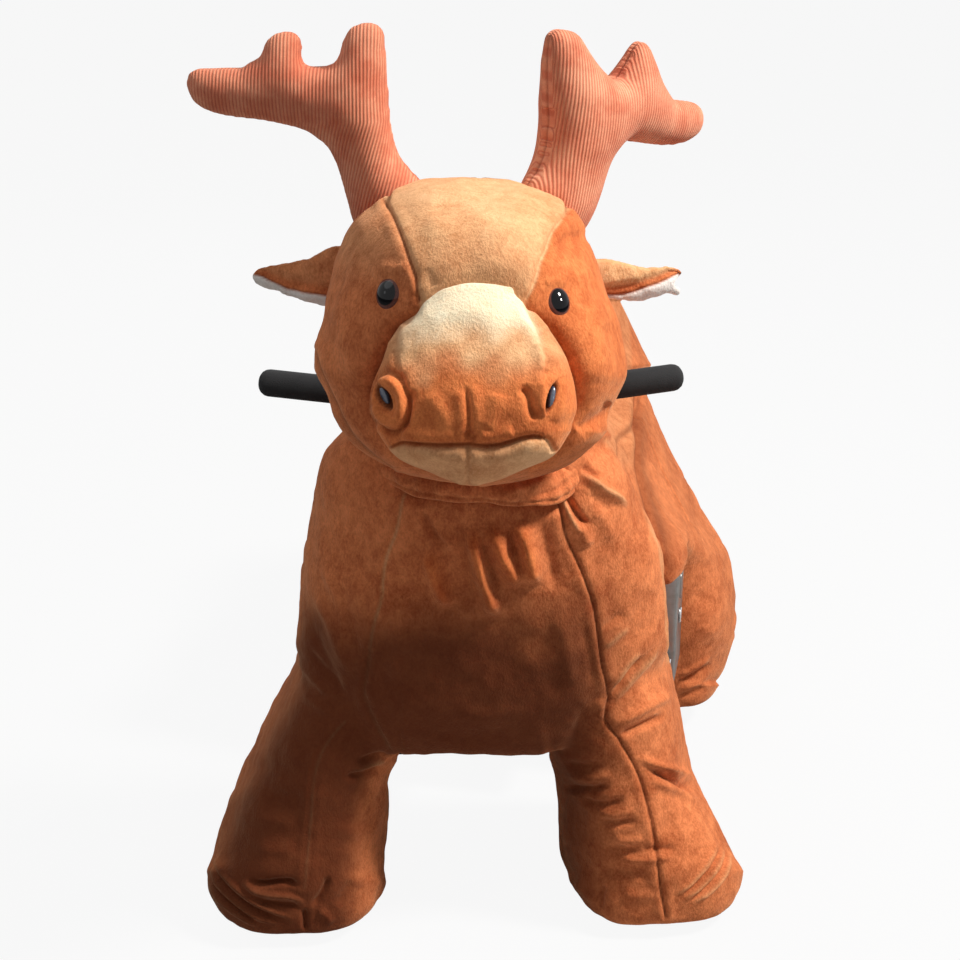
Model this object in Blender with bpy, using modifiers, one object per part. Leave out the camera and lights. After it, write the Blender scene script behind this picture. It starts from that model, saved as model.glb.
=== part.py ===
"""Plush animal ride-on: a battery driven ride for one child.

A steel backbone on four wheels carries a stuffed moose.  The whole front of the animal (head,
chest, front legs, front wheels and handlebar) turns about one upright steering column, and a
geared motor drives the rear axle.  Metres, +Z up, the animal looks along -Y.
The chassis is modelled round its steering column and moved at the end, so that the world origin
lies on the floor under the middle of the finished ride.
"""

import math

import bmesh
import bpy
from mathutils import Matrix, Vector

# Driving dimensions
STEERING_AT_REST = math.radians(14.0)
HEAD_TURN = math.radians(-4.0)
HEAD_LEAD = 0.12
WHEEL_RADIUS = 0.100
TYRE_WIDTH = 0.050
TYRE_WALL = 0.026
FRONT_TRACK = 0.400
REAR_TRACK = 0.400
WHEELBASE = 0.480
FRONT_AXLE_LEAD = 0.035
BEAM_WIDTH = 0.040
BEAM_HEIGHT = 0.040
BEAM_WALL = 0.003
BEAM_BOTTOM = 0.190
HEAD_TUBE_RADIUS = 0.025
HEAD_TUBE_WALL = 0.003
HEAD_TUBE_TOP = 0.455
COLUMN_RADIUS = 0.016
COLUMN_WALL = 0.003
BAR_RADIUS = 0.011
BAR_HEIGHT = 0.607
BAR_HALF_SPAN = 0.251
GRIP_RADIUS = 0.0165
GRIP_LENGTH = 0.125
AXLE_RADIUS = 0.010
GEAR_MODULE = 0.0025
GEAR_TEETH = 48
PINION_TEETH = 16
GEAR_FACE = 0.014
MOTOR_RADIUS = 0.036
MOTOR_LENGTH = 0.100
BATTERY_SIZE = (0.065, 0.151, 0.094)
SEAT_BOARD_BOTTOM = 0.298
SEAT_BOARD_THICKNESS = 0.012
SEAT_BOARD_WIDTH = 0.270
SEAT_BOARD_LENGTH = 0.440
SEAT_BOARD_START = 0.200
SHEET = 0.0025

# Clearances
SEAM = 0.0003
PLUSH_SEAM = 0.0008
RUN = 0.0004
WELL_CLEARANCE = 0.012
PLUSH_CLEARANCE = 0.006
BAR_CLEARANCE = 0.002

# Facets round a full turn
MEDIUM = 24
WHEEL = 20
COARSE = 16

BEAM_TOP = BEAM_BOTTOM + BEAM_HEIGHT
BEAM_AXIS = BEAM_BOTTOM + BEAM_HEIGHT / 2
SEAT_BOARD_TOP = SEAT_BOARD_BOTTOM + SEAT_BOARD_THICKNESS

for old in list(bpy.data.objects):
    bpy.data.objects.remove(old)

PARTS = bpy.data.collections.new("plush_ride_on")
CUTTERS = bpy.data.collections.new("cutters")
for group in (PARTS, CUTTERS):
    bpy.context.scene.collection.children.link(group)


def material(name, colour, roughness, metallic=0.0):
    """A Principled material with one colour and finish."""
    made = bpy.data.materials.new(name)
    made.use_nodes = True
    shader = made.node_tree.nodes["Principled BSDF"]
    shader.inputs["Base Color"].default_value = (*colour, 1.0)
    shader.inputs["Roughness"].default_value = roughness
    shader.inputs["Metallic"].default_value = metallic
    return made


PLUSH = material("plush", (0.42, 0.13, 0.045), 0.95)
TAN_PLUSH = material("tan_plush", (0.62, 0.31, 0.14), 0.95)
CORDUROY = material("corduroy", (0.45, 0.11, 0.055), 0.9)
EYE_GLOSS = material("eye_gloss", (0.01, 0.008, 0.008), 0.08)
BLACK_STEEL = material("black_steel", (0.02, 0.02, 0.022), 0.45, 0.6)
ZINC_STEEL = material("zinc_steel", (0.55, 0.56, 0.58), 0.35, 1.0)
STAINLESS = material("stainless", (0.62, 0.62, 0.63), 0.18, 1.0)
CHROME = material("chrome", (0.8, 0.8, 0.82), 0.08, 1.0)
FOAM = material("foam", (0.012, 0.012, 0.014), 0.7)
RUBBER = material("rubber", (0.018, 0.018, 0.018), 0.8)
BLACK_PLASTIC = material("black_plastic", (0.02, 0.02, 0.02), 0.5)
RED_PLASTIC = material("red_plastic", (0.45, 0.02, 0.02), 0.35)
BATTERY_CASE = material("battery_case", (0.05, 0.055, 0.06), 0.5)
ALUMINIUM = material("aluminium", (0.6, 0.61, 0.62), 0.4, 1.0)
PLYWOOD = material("plywood", (0.52, 0.33, 0.17), 0.7)
GEAR_STEEL = material("gear_steel", (0.35, 0.35, 0.36), 0.35, 1.0)


def empty(name, parent, location=(0, 0, 0), turn=0.0):
    """A frame that its children are placed in, turned about the vertical."""
    made = bpy.data.objects.new(name, None)
    made.empty_display_size = 0.05
    made.location = location
    made.rotation_euler = (0, 0, turn)
    made.parent = parent
    PARTS.objects.link(made)
    return made


ride = empty("ride", None)
steering_pivot = empty("steering_pivot", ride, turn=STEERING_AT_REST)
head_mount = empty("head_mount", steering_pivot, (0, -HEAD_LEAD, 0), HEAD_TURN)


def adopt(name, mesh, parent, look, location=(0, 0, 0), matrix=None):
    """Put a mesh in the parts collection as one named sub-part."""
    made = bpy.data.objects.new(name, mesh)
    made.parent = parent
    if matrix is None:
        made.location = location
    else:
        made.matrix_local = matrix
    if look is None:
        CUTTERS.objects.link(made)
        made.hide_render = True
        made.display_type = "WIRE"
    else:
        mesh.materials.append(look)
        PARTS.objects.link(made)
    return made


def shade(made, angle=40.0):
    """Smooth round faces and keep real edges sharp."""
    made.data.shade_smooth()
    made.data.set_sharp_from_angle(angle=math.radians(angle))
    return made


def mesh_from(bm, name):
    mesh = bpy.data.meshes.new(name)
    bmesh.ops.recalc_face_normals(bm, faces=bm.faces)
    bm.to_mesh(mesh)
    bm.free()
    return mesh


def box(name, low, high, parent, look, bevel=0.0):
    """A block between two corners given in the parent's frame."""
    centre = (Vector(low) + Vector(high)) / 2
    size = Vector(high) - Vector(low)
    bm = bmesh.new()
    bmesh.ops.create_cube(bm, size=1.0)
    bmesh.ops.scale(bm, vec=size, verts=bm.verts)
    made = adopt(name, mesh_from(bm, name), parent, look, centre)
    if bevel:
        rounding = made.modifiers.new("edges", "BEVEL")
        rounding.width = bevel
        rounding.segments = 2
        rounding.limit_method = "ANGLE"
    return made


TURN_TO = {"X": Matrix.Rotation(math.pi / 2, 4, "Y"),
           "Y": Matrix.Rotation(-math.pi / 2, 4, "X"),
           "Z": Matrix.Identity(4)}


def cylinder(name, radius, start, length, axis, parent, look, facets=MEDIUM):
    """A round bar from start, along +axis of the parent's frame.

    The facets lie outside the circle on a cutter, and inside it on a piece.
    """
    reach = radius / math.cos(math.pi / facets) if look is None else radius
    bm = bmesh.new()
    bmesh.ops.create_cone(bm, cap_ends=True, segments=facets, radius1=reach, radius2=reach,
                          depth=length)
    bmesh.ops.translate(bm, vec=(0, 0, length / 2), verts=bm.verts)
    made = adopt(name, mesh_from(bm, name), parent, look,
                 matrix=Matrix.Translation(start) @ TURN_TO[axis])
    return shade(made)


def turned(name, profile, parent, look, matrix, facets=MEDIUM):
    """Turn a closed profile of (radius, height) points, outer side first, about local Z."""
    mesh = bpy.data.meshes.new(name)
    points = [(radius, 0.0, height) for radius, height in profile]
    closed = profile[0][0] > 0 and profile[-1][0] > 0
    edges = [(i, i + 1) for i in range(len(points) - 1)]
    if closed:
        edges.append((len(points) - 1, 0))
    mesh.from_pydata(points, edges, [])
    made = adopt(name, mesh, parent, look, matrix=matrix)
    spin = made.modifiers.new("turn", "SCREW")
    spin.axis = "Z"
    spin.steps = facets
    spin.render_steps = facets
    spin.use_merge_vertices = True
    spin.merge_threshold = 0.00001
    spin.use_smooth_shade = False
    return made


def fixed_mesh(source, look):
    """Replace an object by the mesh it evaluates to, welded, in the same place and name."""
    bpy.context.view_layer.update()
    graph = bpy.context.evaluated_depsgraph_get()
    mesh = bpy.data.meshes.new_from_object(source.evaluated_get(graph))
    bm = bmesh.new()
    bm.from_mesh(mesh)
    bmesh.ops.remove_doubles(bm, verts=bm.verts, dist=0.000002)
    bm.to_mesh(mesh)
    bm.free()
    name = source.name
    parent = source.parent
    place = source.matrix_local.copy()
    bpy.data.objects.remove(source)
    mesh.materials.clear()
    return adopt(name, mesh, parent, look, matrix=place)


def tube(name, path, radius, parent, look, sides=3, closed=False):
    """A round bar along a path, made a welded mesh."""
    curve = bpy.data.curves.new(name, "CURVE")
    curve.dimensions = "3D"
    curve.bevel_depth = radius
    curve.bevel_resolution = sides
    curve.use_fill_caps = True
    spline = curve.splines.new("POLY")
    spline.points.add(len(path) - 1)
    for point, place in zip(spline.points, path):
        point.co = (*place, 1.0)
    spline.use_cyclic_u = closed
    made = bpy.data.objects.new(name, curve)
    made.parent = parent
    CUTTERS.objects.link(made)
    return shade(fixed_mesh(made, look))


def plate(name, outlines, thickness, parent, look, matrix):
    """A flat outline with its holes, thickened evenly about its own plane."""
    curve = bpy.data.curves.new(name, "CURVE")
    curve.dimensions = "2D"
    curve.fill_mode = "BOTH"
    curve.extrude = thickness / 2
    for outline in outlines:
        spline = curve.splines.new("POLY")
        spline.points.add(len(outline) - 1)
        for point, (across, along) in zip(spline.points, outline):
            point.co = (across, along, 0.0, 1.0)
        spline.use_cyclic_u = True
    made = bpy.data.objects.new(name, curve)
    made.parent = parent
    made.matrix_local = matrix
    PARTS.objects.link(made)
    return shade(fixed_mesh(made, look))


def cut(made, cutter, operation="DIFFERENCE"):
    step = made.modifiers.new("cut", "BOOLEAN")
    step.operation = operation
    step.object = cutter
    step.solver = "EXACT"
    return made


def join(made, *others):
    """Union of solids that are welded together on the real object."""
    for other in others:
        PARTS.objects.unlink(other)
        CUTTERS.objects.link(other)
        other.hide_render = True
        other.display_type = "WIRE"
        cut(made, other, "UNION")
    return made


def circle(radius, count, centre=(0.0, 0.0)):
    return [(centre[0] + radius * math.cos(2 * math.pi * i / count),
             centre[1] + radius * math.sin(2 * math.pi * i / count)) for i in range(count)]


def rounded_rectangle(width, height, radius, steps=4, centre=(0.0, 0.0)):
    points = []
    for quarter in range(4):
        corner_x = (width / 2 - radius) * (1 if quarter in (0, 3) else -1)
        corner_y = (height / 2 - radius) * (1 if quarter in (0, 1) else -1)
        for i in range(steps + 1):
            angle = math.pi / 2 * (quarter + i / steps)
            points.append((centre[0] + corner_x + radius * math.cos(angle),
                           centre[1] + corner_y + radius * math.sin(angle)))
    return points


def rounded_path(corners, radius, steps=4):
    """A path through the corners with an arc-like bend at each inner one."""
    path = [Vector(corners[0])]
    for before, corner, after in zip(corners, corners[1:], corners[2:]):
        before, corner, after = Vector(before), Vector(corner), Vector(after)
        start = corner + (before - corner).normalized() * radius
        end = corner + (after - corner).normalized() * radius
        for i in range(steps + 1):
            share = i / steps
            path.append(start * (1 - share) ** 2 + corner * 2 * share * (1 - share) + end * share ** 2)
    path.append(Vector(corners[-1]))
    return path


def placed(location, axis="Z"):
    return Matrix.Translation(location) @ TURN_TO[axis]


# Soft forms: a ring of points for each section, bridged to a cage and smoothed

def superellipse(count, half_width, half_height, power=2.0, taper=0.0):
    """Points of a rounded section; taper narrows the top and widens the bottom."""
    points = []
    for i in range(count):
        angle = 2 * math.pi * (i + 0.5) / count
        across = math.copysign(abs(math.cos(angle)) ** (2 / power), math.cos(angle))
        along = math.copysign(abs(math.sin(angle)) ** (2 / power), math.sin(angle))
        points.append((half_width * across * (1 - taper * along), half_height * along))
    return points


def stuffed(name, rings, parent, look):
    """A closed stuffed form through the rings, each a list of points, smoothed."""
    bm = bmesh.new()
    loops = [[bm.verts.new(point) for point in ring] for ring in rings]
    count = len(rings[0])
    for lower, upper in zip(loops, loops[1:]):
        for i in range(count):
            j = (i + 1) % count
            bm.faces.new((lower[i], lower[j], upper[j], upper[i]))
    bm.faces.new(loops[0])
    bm.faces.new(loops[-1])
    made = adopt(name, mesh_from(bm, name), parent, look)
    smooth = made.modifiers.new("stuffing", "SUBSURF")
    smooth.levels = 1
    smooth.render_levels = 1
    made.modifiers.new("facets", "TRIANGULATE")
    made.data.shade_smooth()
    return made


def trim(piece, larger, gap=PLUSH_SEAM):
    """Cut a soft form where a larger one fills the space, leaving a seam gap."""
    shape = larger.copy()
    shape.data = larger.data.copy()
    shape.name = larger.name + "_as_cutter"
    for group in list(shape.users_collection):
        group.objects.unlink(shape)
    CUTTERS.objects.link(shape)
    shape.hide_render = True
    shape.display_type = "WIRE"
    swell = shape.modifiers.new("seam", "DISPLACE")
    swell.strength = gap
    swell.mid_level = 0.0
    return cut(piece, shape)


# Steel backbone

GEAR_CENTRES = GEAR_MODULE * (GEAR_TEETH + PINION_TEETH) / 2
REAR_AXLE = Vector((0, WHEELBASE, WHEEL_RADIUS))
CROSSMEMBER_DEPTH = 0.040
CROSSMEMBER_FRONT = WHEELBASE - CROSSMEMBER_DEPTH / 2
HEAD_TUBE_BOTTOM = BEAM_BOTTOM - 0.002
COLUMN_BORE = HEAD_TUBE_RADIUS - HEAD_TUBE_WALL


def square_tube(name, start, length, width, height, wall, axis, parent, look):
    """A rectangular steel tube, open at both ends, along X, Y or Z."""
    outer = rounded_rectangle(width, height, wall * 1.6, 2)
    inner = rounded_rectangle(width - 2 * wall, height - 2 * wall, wall * 0.8, 2)
    middle = Vector(start)
    middle["XYZ".index(axis)] += length / 2
    return plate(name, [outer, inner], length, parent, look, placed(middle, axis))


CONTROLLER_START = 0.300
CONTROLLER_LENGTH = 0.100


def make_backbone():
    """Main beam, head tube and rear crossmember welded into one frame."""
    weld = HEAD_TUBE_RADIUS - HEAD_TUBE_WALL / 2
    length = CROSSMEMBER_FRONT + BEAM_WALL / 2
    frame = square_tube("chassis_frame", (0, 0, BEAM_AXIS), length, BEAM_WIDTH, BEAM_HEIGHT,
                        BEAM_WALL, "Y", ride, BLACK_STEEL)
    cut(frame, cylinder("beam_cope", weld, (0, 0, BEAM_BOTTOM - 0.01), BEAM_HEIGHT + 0.02, "Z",
                        ride, None))
    length = HEAD_TUBE_TOP - HEAD_TUBE_BOTTOM
    head_tube = turned("head_tube", [(HEAD_TUBE_RADIUS, length), (HEAD_TUBE_RADIUS, 0),
                                     (COLUMN_BORE, 0), (COLUMN_BORE, length)],
                       ride, BLACK_STEEL, placed((0, 0, HEAD_TUBE_BOTTOM)))
    crossmember = square_tube("rear_crossmember", (-CROSSMEMBER_HALF, WHEELBASE, BEAM_AXIS),
                              2 * CROSSMEMBER_HALF, BEAM_HEIGHT, CROSSMEMBER_DEPTH, BEAM_WALL, "X",
                              ride, BLACK_STEEL)
    join(frame, head_tube, crossmember)
    cut(frame, cylinder("cable_hole", 0.008, (0, CONTROLLER_START + 0.02, BEAM_AXIS), BEAM_HEIGHT, "Z",
                        ride, None, COARSE))


CROSSMEMBER_HALF = 0.118
BEARING_X = 0.100
BEARING_WIDTH = 0.022
BEARING_BORE = AXLE_RADIUS + RUN
BEARING_OUTER = 0.026


def make_headset():
    """A flanged cup in each end of the head tube carries the column."""
    flange = HEAD_TUBE_RADIUS
    inner = (COLUMN_RADIUS + RUN) / math.cos(math.pi / COARSE)
    body = COLUMN_BORE * math.cos(math.pi / MEDIUM) - SEAM
    lip = 0.0035
    depth = 0.014
    top_lip = HEAD_TUBE_TOP + SEAM
    turned("headset_upper", [(flange, lip), (flange, 0), (body, 0), (body, -depth), (inner, -depth),
                             (inner, lip)],
           ride, ZINC_STEEL, placed((0, 0, top_lip)), COARSE)
    low_lip = HEAD_TUBE_BOTTOM - SEAM
    turned("headset_lower", [(body, depth), (body, 0), (flange, 0), (flange, -lip), (inner, -lip),
                             (inner, depth)],
           ride, ZINC_STEEL, placed((0, 0, low_lip)), COARSE)


def make_axle_bearings():
    """Two pillow blocks hang under the crossmember."""
    top = BEAM_BOTTOM - SEAM - WHEEL_RADIUS
    outline = []
    for i in range(13):
        angle = math.pi + math.pi * i / 12
        outline.append((BEARING_OUTER * math.cos(angle), BEARING_OUTER * math.sin(angle)))
    outline += [(BEARING_OUTER, top - 0.012), (0.034, top - 0.012), (0.034, top), (-0.034, top),
                (-0.034, top - 0.012), (-BEARING_OUTER, top - 0.012)]
    bore = circle(BEARING_BORE / math.cos(math.pi / MEDIUM), MEDIUM)
    for side, name in ((1, "axle_bearing_left"), (-1, "axle_bearing_right")):
        frame = Matrix.Translation((side * BEARING_X, *REAR_AXLE.yz)) @ UPRIGHT_YZ
        plate(name, [outline, bore], BEARING_WIDTH, ride, ALUMINIUM, frame)


# A flat outline's across runs along world Y, its along runs up, its thickness lies on world X
UPRIGHT_YZ = Matrix(((0, 0, 1, 0), (1, 0, 0, 0), (0, 1, 0, 0), (0, 0, 0, 1)))


# Drive: motor, pinion, gear and live axle

def involute_gear(teeth, module, backlash, phase):
    """Outline of a spur gear with involute flanks, tooth 0 centred on the angle phase."""
    pressure = math.radians(20.0)
    pitch = module * teeth / 2
    base = pitch * math.cos(pressure)
    tip = pitch + module
    root = pitch - 1.25 * module
    half_tooth = math.pi / (2 * teeth) - backlash / (2 * pitch)
    lean_at_pitch = math.tan(pressure) - pressure
    flank = []
    start = max(base, root)
    steps = 2
    for i in range(steps + 1):
        radius = start + (tip - start) * i / steps
        roll = math.acos(min(1.0, base / radius))
        flank.append((radius, half_tooth + lean_at_pitch - (math.tan(roll) - roll)))
    outline = []
    for tooth in range(teeth):
        middle = phase + 2 * math.pi * tooth / teeth
        outline.append((root, middle - flank[0][1]))
        outline += [(radius, middle - offset) for radius, offset in flank]
        outline += [(radius, middle + offset) for radius, offset in reversed(flank)]
        outline.append((root, middle + flank[0][1]))
    points = []
    for radius, angle in outline:
        point = (radius * math.cos(angle), radius * math.sin(angle))
        if not points or math.dist(point, points[-1]) > 0.00002:
            points.append(point)
    return points


GEAR_BACKLASH = 0.0004
GEAR_HOLES = 5
GEAR_HOLE_RADIUS = 0.0095
GEAR_X = 0.043
MOTOR_LIFT = math.radians(20.0)
PINION_AXIS = REAR_AXLE + GEAR_CENTRES * Vector((0, -math.cos(MOTOR_LIFT), math.sin(MOTOR_LIFT)))
MOTOR_SHAFT_RADIUS = 0.005
MOTOR_PLATE_X = BEAM_WIDTH / 2 + SEAM
MOTOR_PLATE_THICKNESS = 0.006
MOTOR_PLATE_RADIUS = MOTOR_RADIUS + 0.004
MOTOR_NOSE_RADIUS = 0.018
MOTOR_FACE_X = MOTOR_PLATE_X - SEAM


def make_drive():
    to_pinion = math.pi - MOTOR_LIFT
    outline = involute_gear(GEAR_TEETH, GEAR_MODULE, GEAR_BACKLASH, to_pinion)
    bore = circle((AXLE_RADIUS + SEAM) / math.cos(math.pi / COARSE), COARSE)
    hole_circle = GEAR_MODULE * GEAR_TEETH * 0.32
    holes = [circle(GEAR_HOLE_RADIUS, 8, (hole_circle * math.cos(turn), hole_circle * math.sin(turn)))
             for turn in (2 * math.pi * i / GEAR_HOLES for i in range(GEAR_HOLES))]
    frame = Matrix.Translation((GEAR_X, *REAR_AXLE.yz)) @ UPRIGHT_YZ
    plate("axle_gear", [outline, bore, *holes], GEAR_FACE, ride, GEAR_STEEL, frame)

    half_span = REAR_TRACK / 2 + TYRE_WIDTH / 2 + 0.006
    cylinder("rear_axle", AXLE_RADIUS, (-half_span, *REAR_AXLE.yz), 2 * half_span, "X", ride,
             ZINC_STEEL)

    pinion_outline = involute_gear(PINION_TEETH, GEAR_MODULE, GEAR_BACKLASH,
                                   to_pinion - math.pi + math.pi / PINION_TEETH)
    pinion_face = GEAR_FACE + 0.006
    pinion_frame = Matrix.Translation((GEAR_X, *PINION_AXIS.yz)) @ UPRIGHT_YZ
    pinion = plate("motor_pinion", [pinion_outline], pinion_face, ride, GEAR_STEEL, pinion_frame)
    shaft_inside = 0.030
    shaft = cylinder("pinion_shaft", MOTOR_SHAFT_RADIUS,
                     (MOTOR_FACE_X - shaft_inside, *PINION_AXIS.yz),
                     GEAR_X - MOTOR_FACE_X + shaft_inside, "X", ride, ZINC_STEEL, COARSE)
    join(pinion, shaft)
    motor_back = MOTOR_FACE_X - MOTOR_LENGTH
    end_cap = 0.016
    step = 0.0015
    profile = [(0, 0), (MOTOR_RADIUS - 0.004, 0), (MOTOR_RADIUS, 0.005), (MOTOR_RADIUS, end_cap),
               (MOTOR_RADIUS - step, end_cap), (MOTOR_RADIUS - step, MOTOR_LENGTH - end_cap),
               (MOTOR_RADIUS, MOTOR_LENGTH - end_cap), (MOTOR_RADIUS, MOTOR_LENGTH),
               (0, MOTOR_LENGTH)]
    motor = turned("motor", list(reversed(profile)), ride, BLACK_STEEL,
                   placed((motor_back, *PINION_AXIS.yz), "X"), COARSE)
    shaft_hole = cylinder("motor_shaft_hole", MOTOR_SHAFT_RADIUS + RUN,
                          (MOTOR_FACE_X - shaft_inside - 0.002, *PINION_AXIS.yz), 0.06, "X", ride,
                          None, COARSE)
    cut(motor, shaft_hole)
    foot = BEAM_TOP - PINION_AXIS.z
    plate_outline = []
    for i in range(13):
        angle = math.pi + math.pi * i / 12
        plate_outline.append((MOTOR_PLATE_RADIUS * math.cos(angle),
                              MOTOR_PLATE_RADIUS * math.sin(angle)))
    plate_outline += [(MOTOR_PLATE_RADIUS, foot), (-MOTOR_PLATE_RADIUS, foot)]
    hole = circle(MOTOR_NOSE_RADIUS, COARSE)
    plate_frame = Matrix.Translation((MOTOR_PLATE_X + MOTOR_PLATE_THICKNESS / 2,
                                      *PINION_AXIS.yz)) @ UPRIGHT_YZ
    plate("motor_plate", [plate_outline, hole], MOTOR_PLATE_THICKNESS, ride, ZINC_STEEL, plate_frame)


# Power: batteries in their tray and the controller

TRAY_LENGTH = 0.190
TRAY_HALF_WIDTH = 0.094
TRAY_TO_MOTOR = 0.025
TRAY_START = PINION_AXIS.y - MOTOR_PLATE_RADIUS - TRAY_TO_MOTOR - TRAY_LENGTH
TRAY_BOTTOM = 0.116
TRAY_WALL_HEIGHT = 0.085
ARM_Z = 0.160
ARM_INSET = 0.016
ARM_THICKNESS = 0.004
ARM_FLANGE = 0.050
BATTERY_GAP = 0.002
TERMINAL_HALF = 0.006
TERMINAL_INSET = 0.022
CONTROLLER_HALF_WIDTH = 0.045
CONTROLLER_HEIGHT = 0.024
FIN_PITCH = 0.012
FIN_GROOVE = 0.008
FIN_DEPTH = 0.010


def make_power():
    low = (-TRAY_HALF_WIDTH, TRAY_START, TRAY_BOTTOM)
    high = (TRAY_HALF_WIDTH, TRAY_START + TRAY_LENGTH, TRAY_BOTTOM + TRAY_WALL_HEIGHT)
    tray = box("battery_tray", low, high, ride, BLACK_STEEL)
    inner_low = Vector(low) + Vector((SHEET, SHEET, SHEET))
    inner_high = Vector(high) - Vector((SHEET, SHEET, -0.01))
    cut(tray, box("tray_inside", inner_low, inner_high, ride, None))
    notch_low = (-BEAM_WIDTH / 2 - SEAM, TRAY_START - 0.01, BEAM_BOTTOM - SEAM)
    notch_high = (BEAM_WIDTH / 2 + SEAM, TRAY_START + TRAY_LENGTH + 0.01, BEAM_TOP)
    cut(tray, box("tray_notch", notch_low, notch_high, ride, None))
    arm_front = COIN_BOX_FRONT + ARM_INSET
    arm_back = COIN_BOX_FRONT + COIN_BOX_LENGTH - ARM_INSET
    arm_end = COIN_BOX_OUTER - COIN_BOX_DEPTH - SEAM
    arm = box("coin_box_arm", (TRAY_HALF_WIDTH - SHEET / 2, arm_front, ARM_Z),
              (arm_end, arm_back, ARM_Z + ARM_THICKNESS), ride, BLACK_STEEL)
    flange = box("arm_flange", (arm_end - ARM_THICKNESS, arm_front, ARM_Z + ARM_THICKNESS / 2),
                 (arm_end, arm_back, ARM_Z + ARM_FLANGE), ride, BLACK_STEEL)
    join(tray, arm, flange)
    width, length, height = BATTERY_SIZE
    battery_start = TRAY_START + (TRAY_LENGTH - length) / 2
    for side, name in ((1, "battery_left"), (-1, "battery_right")):
        inner = BEAM_WIDTH / 2 + BATTERY_GAP
        xs = sorted((side * inner, side * (inner + width)))
        floor = TRAY_BOTTOM + SHEET + SEAM
        body = box(name, (xs[0], battery_start, floor), (xs[1], battery_start + length, floor + height),
                   ride, BATTERY_CASE)
        half = TERMINAL_HALF
        for place in (TERMINAL_INSET, length - TERMINAL_INSET):
            spot = Vector((sum(xs) / 2, battery_start + place, floor + height))
            terminal = box(name + "_terminal", spot - Vector((half, half, half / 3)),
                           spot + Vector((half, half, half)), ride, BATTERY_CASE)
            join(body, terminal)
    base = BEAM_TOP + SEAM
    ends = (CONTROLLER_START, CONTROLLER_START + CONTROLLER_LENGTH)
    top = base + CONTROLLER_HEIGHT
    case = box("controller", (-CONTROLLER_HALF_WIDTH, ends[0], base),
               (CONTROLLER_HALF_WIDTH, ends[1], top), ride, ALUMINIUM)
    fins = int(2 * CONTROLLER_HALF_WIDTH / FIN_PITCH)
    for i in range(fins - 1):
        x = FIN_PITCH * (i + 0.5 - (fins - 1) / 2)
        groove = box("fin_groove", (x - FIN_GROOVE / 2, ends[0] - FIN_DEPTH, top - FIN_DEPTH),
                     (x + FIN_GROOVE / 2, ends[1] + FIN_DEPTH, top + FIN_DEPTH), ride, None)
        cut(case, groove)


# Seat board on its two posts

POST_RADIUS = 0.016
POST_FLANGE = 0.028
POST_FACETS = 12
POSTS = {"seat_post_front": 0.250, "seat_post_rear": WHEELBASE}


def make_seat_support():
    height = SEAT_BOARD_BOTTOM - BEAM_TOP - 2 * SEAM
    flange = 0.004
    profile = [(POST_FLANGE, height), (POST_FLANGE, height - flange), (POST_RADIUS, height - flange),
               (POST_RADIUS, flange), (POST_FLANGE, flange), (POST_FLANGE, 0), (0.012, 0),
               (0.012, height)]
    for name, y in POSTS.items():
        turned(name, profile, ride, BLACK_STEEL, placed((0, y, BEAM_TOP + SEAM)), POST_FACETS)
    outline = rounded_rectangle(SEAT_BOARD_WIDTH, SEAT_BOARD_LENGTH, 0.040, 5)
    centre = (0, SEAT_BOARD_START + SEAT_BOARD_LENGTH / 2,
              SEAT_BOARD_BOTTOM + SEAT_BOARD_THICKNESS / 2)
    plate("seat_board", [outline], SEAT_BOARD_THICKNESS, ride, PLYWOOD, placed(centre))


# Foot pegs on the tray's sides

PEG_RADIUS = 0.011
PEG_Y = TRAY_START + 0.084
PEG_Z = 0.180
PEG_REACH = 0.222
PEG_SLEEVE_RADIUS = 0.0165
PEG_SLEEVE_LENGTH = 0.075
PEG_FLANGE_RADIUS = 0.020
PEG_FLANGE = 0.005
PEG_TIP = 0.012


def make_foot_pegs():
    """A chrome peg with a flange on each tray wall, in a ribbed rubber sleeve."""
    wall = TRAY_HALF_WIDTH + SEAM
    reach = PEG_REACH - wall
    peg_profile = [(0, reach), (PEG_RADIUS - 0.001, reach), (PEG_RADIUS, reach - 0.001),
                   (PEG_RADIUS, PEG_FLANGE), (PEG_FLANGE_RADIUS, PEG_FLANGE),
                   (PEG_FLANGE_RADIUS, 0), (0, 0)]
    ribs = 3
    pitch = PEG_SLEEVE_LENGTH / ribs
    groove = 0.002
    sleeve = []
    for i in range(ribs):
        top = PEG_SLEEVE_LENGTH - i * pitch
        sleeve += [(PEG_SLEEVE_RADIUS, top - groove / 4), (PEG_SLEEVE_RADIUS - groove, top - pitch * 0.85)]
    sleeve += [(PEG_RADIUS + SEAM, 0), (PEG_RADIUS + SEAM, PEG_SLEEVE_LENGTH)]
    for side, word in ((1, "left"), (-1, "right")):
        turn = TURN_TO["X"] if side > 0 else Matrix.Rotation(-math.pi / 2, 4, "Y")
        root = Matrix.Translation((side * wall, PEG_Y, PEG_Z)) @ turn
        turned("foot_peg_" + word, peg_profile, ride, CHROME, root, COARSE)
        sleeve_root = Matrix.Translation((side * (PEG_REACH - PEG_SLEEVE_LENGTH - PEG_TIP),
                                          PEG_Y, PEG_Z)) @ turn
        turned("peg_sleeve_" + word, sleeve, ride, RUBBER, sleeve_root, COARSE)


# Coin box

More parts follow.
